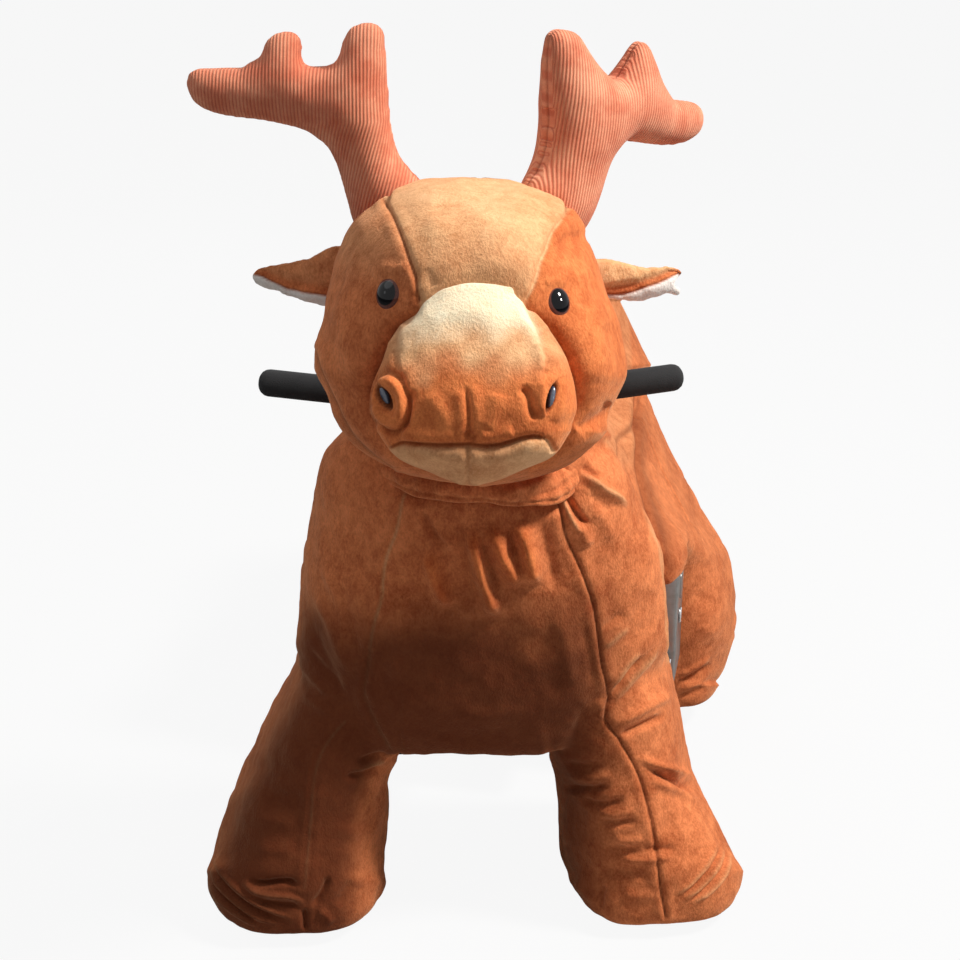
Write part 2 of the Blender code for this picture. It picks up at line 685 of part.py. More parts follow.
COIN_BOX_OUTER = 0.226
COIN_BOX_DEPTH = 0.062
COIN_BOX_FRONT = TRAY_START + 0.102
COIN_BOX_LENGTH = 0.092
COIN_BOX_BOTTOM = 0.142
COIN_BOX_TOP = SEAT_BOARD_TOP - 0.003
DOOR_BOTTOM = COIN_BOX_BOTTOM + 0.010
DOOR_HEIGHT = 0.098
DOOR_MARGIN = 0.008
DOOR_GAP = 0.0008
DOOR_PIVOT = 0.0055
LOCK_RADIUS = 0.0085
LOCK_HEAD_RADIUS = 0.0115
LOCK_HEAD = 0.003
LOCK_INSIDE = 0.012
LOCK_INSET = 0.022
KEYWAY_WIDTH = 0.0016
SLOT_RISE = 0.026
SLOT_WIDTH = 0.0034
SLOT_HEIGHT = 0.027


def make_coin_box():
    """A bent stainless box: door low on its outer side, coin slot above it."""
    inner = COIN_BOX_OUTER - COIN_BOX_DEPTH
    low = Vector((inner, COIN_BOX_FRONT, COIN_BOX_BOTTOM))
    high = Vector((COIN_BOX_OUTER, COIN_BOX_FRONT + COIN_BOX_LENGTH, COIN_BOX_TOP))
    case = box("coin_box", low, high, ride, STAINLESS, 0.005)
    wall = Vector((SHEET, SHEET, SHEET))
    cut(case, box("coin_box_inside", low + wall, high - wall, ride, None))
    reach = 4 * SHEET
    opening_low = Vector((COIN_BOX_OUTER - reach, COIN_BOX_FRONT + DOOR_MARGIN, DOOR_BOTTOM))
    opening_high = Vector((COIN_BOX_OUTER + reach, COIN_BOX_FRONT + COIN_BOX_LENGTH - DOOR_MARGIN,
                           DOOR_BOTTOM + DOOR_HEIGHT))
    cut(case, box("door_opening", opening_low, opening_high, ride, None))
    slot_middle = COIN_BOX_FRONT + COIN_BOX_LENGTH / 2
    slot_z = DOOR_BOTTOM + DOOR_HEIGHT + SLOT_RISE

    door_parent = empty("coin_door_hinge", ride,
                        (COIN_BOX_OUTER - SHEET - DOOR_GAP, slot_middle, DOOR_BOTTOM + DOOR_PIVOT))
    gap = DOOR_GAP
    origin = door_parent.location
    leaf_low = Vector((COIN_BOX_OUTER - SHEET, opening_low.y + gap, DOOR_BOTTOM + 2 * gap)) - origin
    leaf_high = Vector((COIN_BOX_OUTER - SEAM, opening_high.y - gap,
                        DOOR_BOTTOM + DOOR_HEIGHT - gap)) - origin
    leaf = box("coin_door", leaf_low, leaf_high, door_parent, STAINLESS)
    lock_height = DOOR_BOTTOM + DOOR_HEIGHT - LOCK_INSET - origin.z
    lock_hole = cylinder("lock_hole", LOCK_RADIUS + SEAM, (-LOCK_INSET, 0, lock_height),
                         2 * LOCK_INSET, "X", door_parent, None, COARSE)
    cut(leaf, lock_hole)
    lock_start = COIN_BOX_OUTER - SHEET - LOCK_INSIDE - origin.x
    lock_length = LOCK_INSIDE + SHEET + LOCK_HEAD
    edge = LOCK_HEAD / 3
    seat = LOCK_INSIDE + SHEET + SEAM
    lock_profile = [(0, lock_length), (LOCK_HEAD_RADIUS - edge, lock_length),
                    (LOCK_HEAD_RADIUS, lock_length - edge), (LOCK_HEAD_RADIUS, seat),
                    (LOCK_RADIUS, seat), (LOCK_RADIUS, 0), (0, 0)]
    lock = turned("coin_lock", lock_profile, door_parent, CHROME,
                  placed((lock_start, 0, lock_height), "X"), COARSE)
    keyway = box("keyway", (lock_start + lock_length - LOCK_HEAD, -KEYWAY_WIDTH / 2,
                            lock_height - LOCK_RADIUS / 2),
                 (lock_start + lock_length + LOCK_HEAD, KEYWAY_WIDTH / 2,
                  lock_height + LOCK_RADIUS / 2), door_parent, None)
    cut(lock, keyway)

    escutcheon = plate("slot_plate", [rounded_rectangle(0.030, 0.036, 0.005, 3)], 0.003, ride, CHROME,
                       Matrix.Translation((COIN_BOX_OUTER + 0.0005, slot_middle, slot_z))
                       @ UPRIGHT_YZ)
    join(case, escutcheon)
    cut(case, box("coin_slot", (COIN_BOX_OUTER - reach, slot_middle - SLOT_WIDTH / 2,
                                slot_z - SLOT_HEIGHT / 2),
                  (COIN_BOX_OUTER + reach, slot_middle + SLOT_WIDTH / 2,
                   slot_z + SLOT_HEIGHT / 2), ride, None))


# Wheels

RIM_INSET = 0.004


def tyre_profile(radius, width, wall):
    """Outer side first, from one edge to the other, with round shoulders."""
    half = width / 2
    shoulder = 0.009
    edge = [(radius - shoulder, half), (radius - shoulder * 0.3, half - shoulder * 0.3),
            (radius, half - shoulder)]
    low_edge = [(reach, -height) for reach, height in reversed(edge)]
    bead = radius - wall
    return edge + low_edge + [(bead, -half + RIM_INSET), (bead, half - RIM_INSET)]


def make_wheel(word, parent, centre, bore, hub_half, hub_radius):
    """A solid rubber tyre on a hub with a conical web; the wheel's axis is X."""
    frame = placed(centre, "X")
    tyre = turned("tyre_" + word, tyre_profile(WHEEL_RADIUS, TYRE_WIDTH, TYRE_WALL), parent, RUBBER,
                  frame, WHEEL)
    seat = WHEEL_RADIUS - TYRE_WALL - SEAM
    rim = 0.007
    half_rim = TYRE_WIDTH / 2 - RIM_INSET
    web = 0.005
    hub_bore = bore / math.cos(math.pi / WHEEL)
    profile = [(seat, half_rim), (seat, -half_rim), (seat - rim, -half_rim), (seat - rim, -web),
               (hub_radius, -hub_half), (hub_bore, -hub_half), (hub_bore, hub_half),
               (hub_radius, hub_half), (seat - rim, web), (seat - rim, half_rim)]
    hub = turned("hub_" + word, profile, parent, BLACK_PLASTIC, frame, WHEEL)
    return tyre, hub


def make_rear_wheels():
    for side, word in ((1, "rear_left"), (-1, "rear_right")):
        centre = (side * REAR_TRACK / 2, WHEELBASE, WHEEL_RADIUS)
        make_wheel(word, ride, centre, AXLE_RADIUS + SEAM, TYRE_WIDTH / 2, 0.020)


# Front carrier: crossbar under the belly, an upright and a stub axle inside each leg

CROSSBAR_DEPTH = 0.030
CROSSBAR_HEIGHT = 0.020
CROSSBAR_TOP = HEAD_TUBE_BOTTOM - 0.0075
UPRIGHT_THICKNESS = 0.008
UPRIGHT_GAP = 0.008
STUB_RADIUS = 0.008
UPRIGHT_INNER = FRONT_TRACK / 2 - TYRE_WIDTH / 2 - UPRIGHT_GAP - UPRIGHT_THICKNESS


def make_front_carrier():
    bottom = CROSSBAR_TOP - CROSSBAR_HEIGHT
    half = UPRIGHT_INNER - SEAM
    square_tube("front_crossbar", (-half, 0, (bottom + CROSSBAR_TOP) / 2), 2 * half, CROSSBAR_HEIGHT,
                CROSSBAR_DEPTH, 0.0025, "X", steering_pivot, BLACK_STEEL)
    crossbar = bpy.data.objects["front_crossbar"]
    crossbar.matrix_local = (Matrix.Translation((0, 0, (bottom + CROSSBAR_TOP) / 2)) @ TURN_TO["X"])
    for side, word in ((1, "left"), (-1, "right")):
        outline = []
        for i in range(9):
            angle = math.pi + math.pi * i / 8
            outline.append((-FRONT_AXLE_LEAD + 0.020 * math.cos(angle),
                            WHEEL_RADIUS + 0.020 * math.sin(angle)))
        outline += [(CROSSBAR_DEPTH / 2 + 0.002, bottom), (CROSSBAR_DEPTH / 2 + 0.002, CROSSBAR_TOP),
                    (-CROSSBAR_DEPTH / 2 - 0.018, CROSSBAR_TOP)]
        middle = side * (UPRIGHT_INNER + UPRIGHT_THICKNESS / 2)
        upright = plate("upright_" + word, [outline], UPRIGHT_THICKNESS, steering_pivot, BLACK_STEEL,
                        Matrix.Translation((middle, 0, 0)) @ UPRIGHT_YZ)
        wheel_outer = FRONT_TRACK / 2 + TYRE_WIDTH / 2
        stub_length = wheel_outer + 0.008 - UPRIGHT_INNER - 0.001
        start_x = UPRIGHT_INNER + 0.001 if side > 0 else -UPRIGHT_INNER - 0.001 - stub_length
        stub = cylinder("stub_" + word, STUB_RADIUS, (start_x, -FRONT_AXLE_LEAD, WHEEL_RADIUS),
                        stub_length, "X", steering_pivot, ZINC_STEEL, COARSE)
        join(upright, stub)
        nut_low = wheel_outer + 0.0015
        nut = cylinder("nut_" + word, 0.012,
                       (nut_low if side > 0 else -nut_low - 0.005, -FRONT_AXLE_LEAD, WHEEL_RADIUS),
                       0.005, "X", steering_pivot, ZINC_STEEL, 6)
        join(upright, nut)
        spin_frame = empty("front_spin_" + word, steering_pivot,
                           (side * FRONT_TRACK / 2, -FRONT_AXLE_LEAD, WHEEL_RADIUS))
        make_wheel("front_" + word, spin_frame, (0, 0, 0), STUB_RADIUS + RUN, TYRE_WIDTH / 2 + 0.001,
                   0.019)


# Steering column, stem, handlebar and controls

BAR_BACK = 0.040
BAR_SWEEP = 0.048
BAR_RISE = 0.010
STEM_FRONT = -0.024
STEM_HALF_WIDTH = 0.022
STEM_BOTTOM = BAR_HEIGHT - 0.032
STEM_TOP = BAR_HEIGHT + 0.018
COLUMN_TOP = BAR_HEIGHT - 0.006
BAR_BEND_X = 0.050
BAR_BEND = 0.022


# A bent tube from the column's front up into the head
BRACKET_RADIUS = 0.009
HEAD_BRACKET = ((0, -COLUMN_RADIUS + 0.002, HEAD_TUBE_TOP + 0.045), (0, -0.080, 0.575),
                (0, -0.150, 0.680), (0, -0.185, 0.790))


def bar_end(side):
    return Vector((side * BAR_HALF_SPAN, BAR_BACK + BAR_SWEEP, BAR_HEIGHT + BAR_RISE))


def bar_corners():
    return [bar_end(-1), (-BAR_BEND_X, BAR_BACK, BAR_HEIGHT), (BAR_BEND_X, BAR_BACK, BAR_HEIGHT),
            bar_end(1)]


def bar_frame(side, distance):
    """Frame on the swept part of the bar, its Z pointing out along the bar."""
    bend = Vector((side * BAR_BEND_X, BAR_BACK, BAR_HEIGHT))
    outward = (bar_end(side) - bend).normalized()
    spot = bar_end(side) - outward * distance
    across = Vector((0, 0, 1)).cross(outward).normalized()
    upward = outward.cross(across)
    turn = Matrix((across, upward, outward)).transposed().to_4x4()
    return Matrix.Translation(spot) @ turn, outward


def make_steering():
    length = COLUMN_TOP - CROSSBAR_TOP - SEAM
    turned("steering_column", [(COLUMN_RADIUS, length), (COLUMN_RADIUS, 0),
                               (COLUMN_RADIUS - COLUMN_WALL, 0), (COLUMN_RADIUS - COLUMN_WALL, length)],
           steering_pivot, ZINC_STEEL, placed((0, 0, CROSSBAR_TOP + SEAM)), WHEEL)
    bracket = tube("head_bracket", rounded_path(HEAD_BRACKET, 0.03, 2), BRACKET_RADIUS,
                   steering_pivot, ZINC_STEEL, 2)
    join(bpy.data.objects["steering_column"], bracket)
    stem = box("stem", (-STEM_HALF_WIDTH, STEM_FRONT, STEM_BOTTOM),
               (STEM_HALF_WIDTH, BAR_BACK + 0.019, STEM_TOP), steering_pivot, ALUMINIUM, 0.005)
    cut(stem, cylinder("stem_socket", COLUMN_RADIUS + SEAM, (0, 0, STEM_BOTTOM - 0.02),
                       COLUMN_TOP - STEM_BOTTOM + 0.02 + SEAM, "Z", steering_pivot, None))
    cut(stem, cylinder("stem_bar_bore", BAR_RADIUS + SEAM,
                       (-STEM_HALF_WIDTH - 0.01, BAR_BACK, BAR_HEIGHT),
                       2 * STEM_HALF_WIDTH + 0.02, "X", steering_pivot, None, COARSE))
    tube("handlebar", rounded_path(bar_corners(), BAR_BEND), BAR_RADIUS, steering_pivot, BLACK_STEEL,
         4)

    for side, word in ((1, "left"), (-1, "right")):
        frame, outward = bar_frame(side, GRIP_LENGTH - 0.004)
        inner = BAR_RADIUS + SEAM
        top = GRIP_LENGTH
        crown = 0.012
        profile = []
        for i in range(5):
            angle = math.pi / 2 * i / 4
            profile.append(((GRIP_RADIUS - crown) * (i > 0) + crown * math.sin(angle),
                            top - crown + crown * math.cos(angle)))
        profile[0] = (0, top)
        profile += [(GRIP_RADIUS, 0.004), (GRIP_RADIUS - 0.003, 0), (inner, 0),
                    (inner, GRIP_LENGTH - 0.004 + SEAM), (0, GRIP_LENGTH - 0.004 + SEAM)]
        turned("grip_" + word, profile, steering_pivot, FOAM, frame, COARSE)


HOUSING_LENGTH = 0.022
LEVER_LENGTH = 0.010
CONTROL_RADIUS = 0.019
LEVER_ANGLE = math.radians(113.0)


def make_controls():
    """Thumb throttle on the animal's right, horn button on its left."""
    inner = (BAR_RADIUS + SEAM) / math.cos(math.pi / COARSE)
    housing_at = GRIP_LENGTH + HOUSING_LENGTH
    frame, outward = bar_frame(-1, housing_at)
    ring = [(CONTROL_RADIUS, HOUSING_LENGTH), (CONTROL_RADIUS, 0.002), (CONTROL_RADIUS - 0.002, 0),
            (inner, 0), (inner, HOUSING_LENGTH)]
    turned("throttle_housing", ring, steering_pivot, BLACK_PLASTIC, frame, COARSE)
    lever_frame, _ = bar_frame(-1, housing_at + LEVER_LENGTH + RUN)
    lever_ring = [(CONTROL_RADIUS - 0.002, LEVER_LENGTH - 0.001), (CONTROL_RADIUS - 0.002, 0.001),
                  (CONTROL_RADIUS - 0.003, 0), (inner + RUN, 0), (inner + RUN, LEVER_LENGTH),
                  (CONTROL_RADIUS - 0.003, LEVER_LENGTH)]
    lever = turned("throttle_lever", lever_ring, steering_pivot, RED_PLASTIC, lever_frame, COARSE)
    paddle = box("lever_paddle", (-0.0045, 0.0135, 0.001), (0.0045, 0.042, LEVER_LENGTH - 0.001),
                 lever, RED_PLASTIC)
    paddle.matrix_local = Matrix.Rotation(LEVER_ANGLE, 4, "Z") @ Matrix.Translation(
        (0, 0.02775, LEVER_LENGTH / 2))
    join(lever, paddle)

    frame, outward = bar_frame(1, housing_at)
    housing = turned("horn_housing", ring, steering_pivot, BLACK_PLASTIC, frame, COARSE)
    across = frame.to_3x3() @ Vector((1, 0, 0))
    rearward = across if across.y > 0 else -across
    block_reach = 0.030
    block = box("horn_block", (-0.0105, -0.013, 0.0005), (0.0105, 0.013, HOUSING_LENGTH - 0.0005),
                steering_pivot, BLACK_PLASTIC)
    centre = frame.translation + outward * HOUSING_LENGTH / 2
    turn = Matrix((rearward, outward.cross(rearward) * -1, outward)).transposed().to_4x4()
    block.matrix_local = Matrix.Translation(centre + rearward * (block_reach - 0.0105)) @ turn
    join(housing, block)
    bore_hole = cylinder("horn_bar_clearance", BAR_RADIUS + SEAM, (0, 0, -0.01),
                         HOUSING_LENGTH + 0.02, "Z", steering_pivot, None, COARSE)
    bore_hole.matrix_local = frame @ Matrix.Translation((0, 0, -0.01))
    cut(housing, bore_hole)
    button_radius = 0.0065
    button_travel = 0.003
    face = block_reach
    to_rear = rearward.to_track_quat("Z", "Y").to_matrix().to_4x4()
    pocket = cylinder("button_pocket", button_radius + RUN, (0, 0, 0), 0.03, "Z", steering_pivot,
                      None, COARSE)
    pocket.matrix_local = Matrix.Translation(centre + rearward * (face - 0.009)) @ to_rear
    cut(housing, pocket)
    crown = 0.002
    body = 0.0085
    button = [(0, body + crown * 0.6), (button_radius * 0.7, body + crown * 0.3),
              (button_radius, body - crown * 0.5), (button_radius, 0), (0, 0)]
    turned("horn_button", button, steering_pivot, RED_PLASTIC,
           Matrix.Translation(centre + rearward * (face - 0.009 + button_travel + 0.001)) @ to_rear,
           COARSE)


# Stuffed front: chest, legs, collar

RING = 10


def level_ring(z, cx, cy, half_width, half_depth, power=2.4):
    """A horizontal section of a form that stands upright."""
    return [(cx + x, cy + y, z) for x, y in superellipse(RING, half_width, half_depth, power)]


def facing_ring(y, cx, cz, half_width, half_height, power=2.2, taper=0.0, count=RING):
    """An upright section of a form that points forward."""
    points = superellipse(count, half_width, half_height, power, taper)
    return [(cx + x, y, cz + z) for x, z in points]


CHEST_SECTIONS = (
    (0.2365, -0.045, 0.150, 0.090),
    (0.2380, -0.046, 0.172, 0.110),
    (0.270, -0.050, 0.203, 0.130),
    (0.350, -0.053, 0.226, 0.138),
    (0.440, -0.057, 0.220, 0.139),
    (0.520, -0.064, 0.202, 0.133),
    (0.580, -0.078, 0.176, 0.118),
    (0.645, -0.104, 0.128, 0.086),
)

LEG_SECTIONS = (
    (0.014, 0.219, -0.045, 0.102, 0.132),
    (0.020, 0.221, -0.045, 0.116, 0.148),
    (0.062, 0.221, -0.042, 0.119, 0.148),
    (0.130, 0.204, -0.037, 0.103, 0.136),
    (0.200, 0.182, -0.036, 0.088, 0.129),
    (0.270, 0.156, -0.040, 0.082, 0.122),
    (0.340, 0.138, -0.045, 0.072, 0.108),
)

REAR_LEG_SECTIONS = (
    (0.044, 0.206, 0.007, 0.072, 0.122),
    (0.052, 0.209, 0.007, 0.084, 0.138),
    (0.100, 0.212, 0.007, 0.089, 0.144),
    (0.180, 0.216, 0.010, 0.088, 0.148),
    (0.270, 0.208, 0.020, 0.070, 0.146),
    (0.340, 0.200, 0.030, 0.056, 0.130),
)

# y, hem half width, mid half width and height, top half width and height, crest height
TORSO_SECTIONS = (
    (0.174, 0.120, 0.135, 0.430, 0.120, 0.530, 0.545),
    (0.182, 0.172, 0.170, 0.435, 0.155, 0.550, 0.572),
    (0.240, 0.244, 0.176, 0.435, 0.150, 0.552, 0.575),
    (0.330, 0.262, 0.180, 0.425, 0.130, 0.505, 0.528),
    (0.420, 0.262, 0.178, 0.430, 0.112, 0.522, 0.548),
    (0.520, 0.254, 0.176, 0.435, 0.102, 0.575, 0.620),
    (0.620, 0.240, 0.168, 0.445, 0.098, 0.605, 0.648),
    (0.700, 0.200, 0.146, 0.455, 0.086, 0.588, 0.628),
    (0.748, 0.130, 0.104, 0.460, 0.060, 0.550, 0.580),
    (0.757, 0.080, 0.065, 0.460, 0.040, 0.510, 0.530),
)

HEAD_SECTIONS = (
    (-0.062, 0.775, 0.055, 0.055),
    (-0.070, 0.775, 0.102, 0.096),
    (-0.105, 0.772, 0.141, 0.132),
    (-0.150, 0.769, 0.160, 0.152),
    (-0.210, 0.767, 0.168, 0.161),
    (-0.270, 0.767, 0.161, 0.155),
    (-0.320, 0.770, 0.138, 0.135),
    (-0.352, 0.772, 0.101, 0.104),
    (-0.364, 0.772, 0.055, 0.058),
)

MUZZLE_SECTIONS = (
    (-0.250, 0.785, 0.074, 0.074),
    (-0.310, 0.772, 0.090, 0.108),
    (-0.350, 0.760, 0.101, 0.110),
    (-0.388, 0.737, 0.102, 0.083),
    (-0.414, 0.722, 0.088, 0.058),
    (-0.424, 0.718, 0.048, 0.030),
)


def torso_ring(y, hem, middle, middle_z, top, top_z, crest):
    """A tent shaped section: flat under the seat, sloping sides, a round crest."""
    base = SEAT_BOARD_TOP + SEAM
    half = [(hem * 0.45, base), (hem * 0.90, base), (hem, base + 0.028),
            (middle, middle_z), (top, top_z), (top * 0.45, crest)]
    right = [(x, y, z) for x, z in half]
    left = [(-x, y, z) for x, z in reversed(half)]
    return right + left


EYE_RADIUS = 0.0145
EYE_PLACE = (0.080, -0.345, 0.832)
EYE_LOOK = (0.42, -0.88, 0.22)
EAR_ROOT = (0.135, -0.175, 0.815)
EAR_TIP = (0.228, -0.150, 0.811)
EAR_WIDTHS = (0.031, 0.028, 0.019, 0.006)
EAR_THICKNESS = 0.012
TAIL_ROOT = (0, 0.735, 0.560)
TAIL_TIP = (0, 0.790, 0.490)
TAIL_WIDTHS = (0.020, 0.027, 0.022, 0.008)
TAIL_THICKNESS = 0.021


def leaf_ring(centre, half_length, half_thickness, along, across):
    """A flat oval section of an ear or a tail, square to its run."""
    return [centre + along * x + across * y for x, y in
            superellipse(6, half_length, half_thickness, 2.0)]


def tapered_leaf(name, root, tip, widths, thickness, parent, look):
    """A stuffed leaf from root to tip; its broad side faces forward and slightly up."""
    root, tip = Vector(root), Vector(tip)
    run = (tip - root).normalized()
    broad = run.cross(Vector((0, -1, 0))).normalized()
    thin = run.cross(broad).normalized()
    rings = []
    for i, width in enumerate(widths):
        spot = root.lerp(tip, i / (len(widths) - 1))
        share = 1.0 - 0.5 * i / (len(widths) - 1)
        rings.append(leaf_ring(spot, width, thickness * share, broad, thin))
    return stuffed(name, rings, parent, look)


# Each branch of an antler: points with a radius, in the plane of the antler
ANTLER_STEM = (((0.074, 0.868), 0.036), ((0.090, 0.915), 0.034), ((0.106, 0.965), 0.033))
ANTLER_BEAM = (((0.150, 0.994), 0.031), ((0.207, 0.997), 0.029), ((0.278, 1.003), 0.017))
ANTLER_INNER_TINE = (((0.111, 1.012), 0.028), ((0.110, 1.056), 0.023))
ANTLER_OUTER_TINE = (((0.192, 1.050), 0.018),)
ANTLER_DROOP = {1: 0.15, -1: 0.0}
ANTLER_Y = -0.150


def antler(name, side, sweep):
    """A branching stuffed antler: a skinned skeleton, smoothed."""
    bm = bmesh.new()
    chain = {}

    def branch(start, points):
        last = start
        for place, radius in points:
            sag = ANTLER_DROOP[side] * max(0.0, place[0] - ANTLER_STEM[-1][0][0])
            vert = bm.verts.new((place[0], 0.0, place[1] - sag))
            chain[vert] = radius
            if last is not None:
                bm.edges.new((last, vert))
            last = vert
        return last

    fork = branch(None, ANTLER_STEM)
    branch(fork, ANTLER_INNER_TINE)
    first_beam = branch(fork, ANTLER_BEAM[:1])
    branch(first_beam, ANTLER_BEAM[1:])
    branch(first_beam, ANTLER_OUTER_TINE)
    radii = [chain[vert] for vert in bm.verts]
    mesh = bpy.data.meshes.new(name)
    bm.to_mesh(mesh)
    bm.free()
    turn = Matrix.Scale(-1, 4, (1, 0, 0)) if side < 0 else Matrix.Identity(4)
    root = Vector((ANTLER_STEM[0][0][0], 0, 0))
    swing = Matrix.Translation(root) @ Matrix.Rotation(sweep, 4, "Z") @ Matrix.Translation(-root)
    mesh.transform(Matrix.Translation((0, ANTLER_Y + HEAD_LEAD, 0)) @ turn @ swing)
    made = adopt(name, mesh, head_mount, CORDUROY)
    skin = made.modifiers.new("skin", "SKIN")
    skin.use_smooth_shade = True
    for data, radius in zip(mesh.skin_vertices[0].data, radii):
        data.radius = (radius, radius)
    mesh.skin_vertices[0].data[0].use_root = True
    smooth = made.modifiers.new("stuffing", "SUBSURF")
    smooth.levels = 1
    smooth.render_levels = 1
    made.modifiers.new("facets", "TRIANGULATE")
    return made


ANTLER_SWEEP = {1: math.radians(40.0), -1: math.radians(0.0)}
COLLAR_RADIUS = 0.023
COLLAR_HEIGHT = 0.590
COLLAR_HALF_WIDTH = 0.122
COLLAR_HALF_DEPTH = 0.106
COLLAR_MIDDLE = -0.098
COLLAR_SWEEP = math.radians(230.0)


def collar_route():
    """From one side of the neck round its front to the other side."""
    steps = 20
    route = []
    for i in range(steps + 1):
        angle = -math.pi / 2 + COLLAR_SWEEP * (i / steps - 0.5)
        route.append((COLLAR_HALF_WIDTH * math.cos(angle),
                      COLLAR_MIDDLE + COLLAR_HALF_DEPTH * math.sin(angle), COLLAR_HEIGHT))
    return route


def make_front_plush():
    chest = stuffed("chest", [level_ring(z, 0, y, w, d) for z, y, w, d in CHEST_SECTIONS],
                    steering_pivot, PLUSH)
    head = stuffed("head", [facing_ring(y + HEAD_LEAD, 0, z, w, h, 2.2, 0.10)
                            for y, z, w, h in HEAD_SECTIONS], head_mount, PLUSH)
    muzzle = stuffed("muzzle", [facing_ring(y + HEAD_LEAD, 0, z, w, h, 2.3, 0.12)
                                for y, z, w, h in MUZZLE_SECTIONS], head_mount, TAN_PLUSH)
    collar = tube("collar", collar_route(), COLLAR_RADIUS, steering_pivot, PLUSH, 2)
    eye_pockets = []
    legs = {}
    for side, word in ((1, "left"), (-1, "right")):
        leg = stuffed("front_leg_" + word, [level_ring(z, side * x, y, w, d, 2.5)
                                            for z, x, y, w, d in LEG_SECTIONS],
                      steering_pivot, PLUSH)
        legs[side] = leg
        trim(leg, chest)
    trim(muzzle, head)
    for side, word in ((1, "left"), (-1, "right")):
        mirror = Vector((side, 1, 1))
        root = Vector(EAR_ROOT) * mirror + Vector((0, HEAD_LEAD, 0))
        tip = Vector(EAR_TIP) * mirror + Vector((0, HEAD_LEAD, 0))
        ear = tapered_leaf("ear_" + word, root, tip, EAR_WIDTHS, EAR_THICKNESS, head_mount, PLUSH)
        trim(ear, head)
        antler_piece = antler("antler_" + word, side, ANTLER_SWEEP[side])
        trim(antler_piece, head)
        look = Vector(EYE_LOOK) * mirror
        spot = Vector(EYE_PLACE) * mirror + Vector((0, HEAD_LEAD, 0))
        facing = look.to_track_quat("Z", "Y").to_matrix().to_4x4()
        dome = [(0, EYE_RADIUS * 0.62)]
        dome += [(EYE_RADIUS * math.sin(turn), EYE_RADIUS * 0.62 * math.cos(turn))
                 for turn in (math.radians(30), math.radians(60), math.radians(90))]
        dome += [(EYE_RADIUS, -0.002), (0.004, -0.003), (0.004, -0.014), (0, -0.014)]
        turned("eye_" + word, dome, head_mount, EYE_GLOSS, Matrix.Translation(spot) @ facing, COARSE)
        pocket = cylinder("eye_pocket", EYE_RADIUS + SEAM, (0, 0, 0), 0.05, "Z", head_mount, None,
                          COARSE)
        pocket.matrix_local = Matrix.Translation(spot) @ facing @ Matrix.Translation((0, 0, -0.0035))
        shank = cylinder("eye_shank", 0.0046, (0, 0, 0), 0.03, "Z", head_mount, None, 8)
        shank.matrix_local = Matrix.Translation(spot) @ facing @ Matrix.Translation((0, 0, -0.0155))
        cut(pocket, shank, "UNION")
        eye_pockets.append(pocket)
    trim(head, chest)
    for pocket in eye_pockets:
        cut(head, pocket)
    trim(collar, chest)
    trim(collar, head)
    channel = HEAD_TUBE_RADIUS + PLUSH_CLEARANCE
    cut(chest, cylinder("column_channel", channel, (0, 0, 0.15), 0.6, "Z", steering_pivot, None))
    pocket = box("stem_pocket", (-STEM_HALF_WIDTH - PLUSH_CLEARANCE, STEM_FRONT - PLUSH_CLEARANCE,
                                 STEM_BOTTOM - PLUSH_CLEARANCE),
                 (STEM_HALF_WIDTH + PLUSH_CLEARANCE, 0.2, STEM_TOP + 0.1), steering_pivot, None)
    cut(chest, pocket)
    cut(chest, tube("bar_channel", rounded_path(bar_corners(), BAR_BEND), BAR_RADIUS + BAR_CLEARANCE,
                    steering_pivot, None, 2))
    sleeve = [Vector(corner) for corner in HEAD_BRACKET]
    sleeve[-1] += (sleeve[-1] - sleeve[-2]).normalized() * PLUSH_CLEARANCE
    channel_tool = tube("bracket_channel", rounded_path(sleeve, 0.03, 2),
                        BRACKET_RADIUS + PLUSH_CLEARANCE, steering_pivot, None, 2)
    cut(chest, channel_tool)
    cut(head, channel_tool)
    for side, leg in legs.items():
        cut_front_wheel_well(leg, side)
    return head, muzzle


def wheel_well(parent, side, inner, outer, y):
    """A cutter round one wheel, open downwards."""
    radius = WHEEL_RADIUS + WELL_CLEARANCE
    start = inner if side > 0 else -outer
    well = cylinder("well", radius, (start, y, WHEEL_RADIUS), outer - inner, "X", parent, None, COARSE)
    low, high = sorted((side * (inner + 0.0001), side * (outer - 0.0001)))
    flat = radius - 0.0005
    mouth = box("well_mouth", (low, y - flat, -0.05), (high, y + flat, WHEEL_RADIUS + 0.004), parent,
                None)
    cut(well, mouth, "UNION")
    return well


def cut_front_wheel_well(leg, side):
    inner = UPRIGHT_INNER - 0.005
    outer = FRONT_TRACK / 2 + TYRE_WIDTH / 2 + 0.015
    well = wheel_well(steering_pivot, side, inner, outer, -FRONT_AXLE_LEAD)
    low, high = sorted((side * 0.02, side * (inner + 0.02)))
    half = CROSSBAR_DEPTH / 2 + 0.004
    slot = box("crossbar_slot", (low, -half, CROSSBAR_TOP - CROSSBAR_HEIGHT - 0.004),
               (high, half, CROSSBAR_TOP + 0.004), steering_pivot, None)
    cut(well, slot, "UNION")
    cut(leg, well)


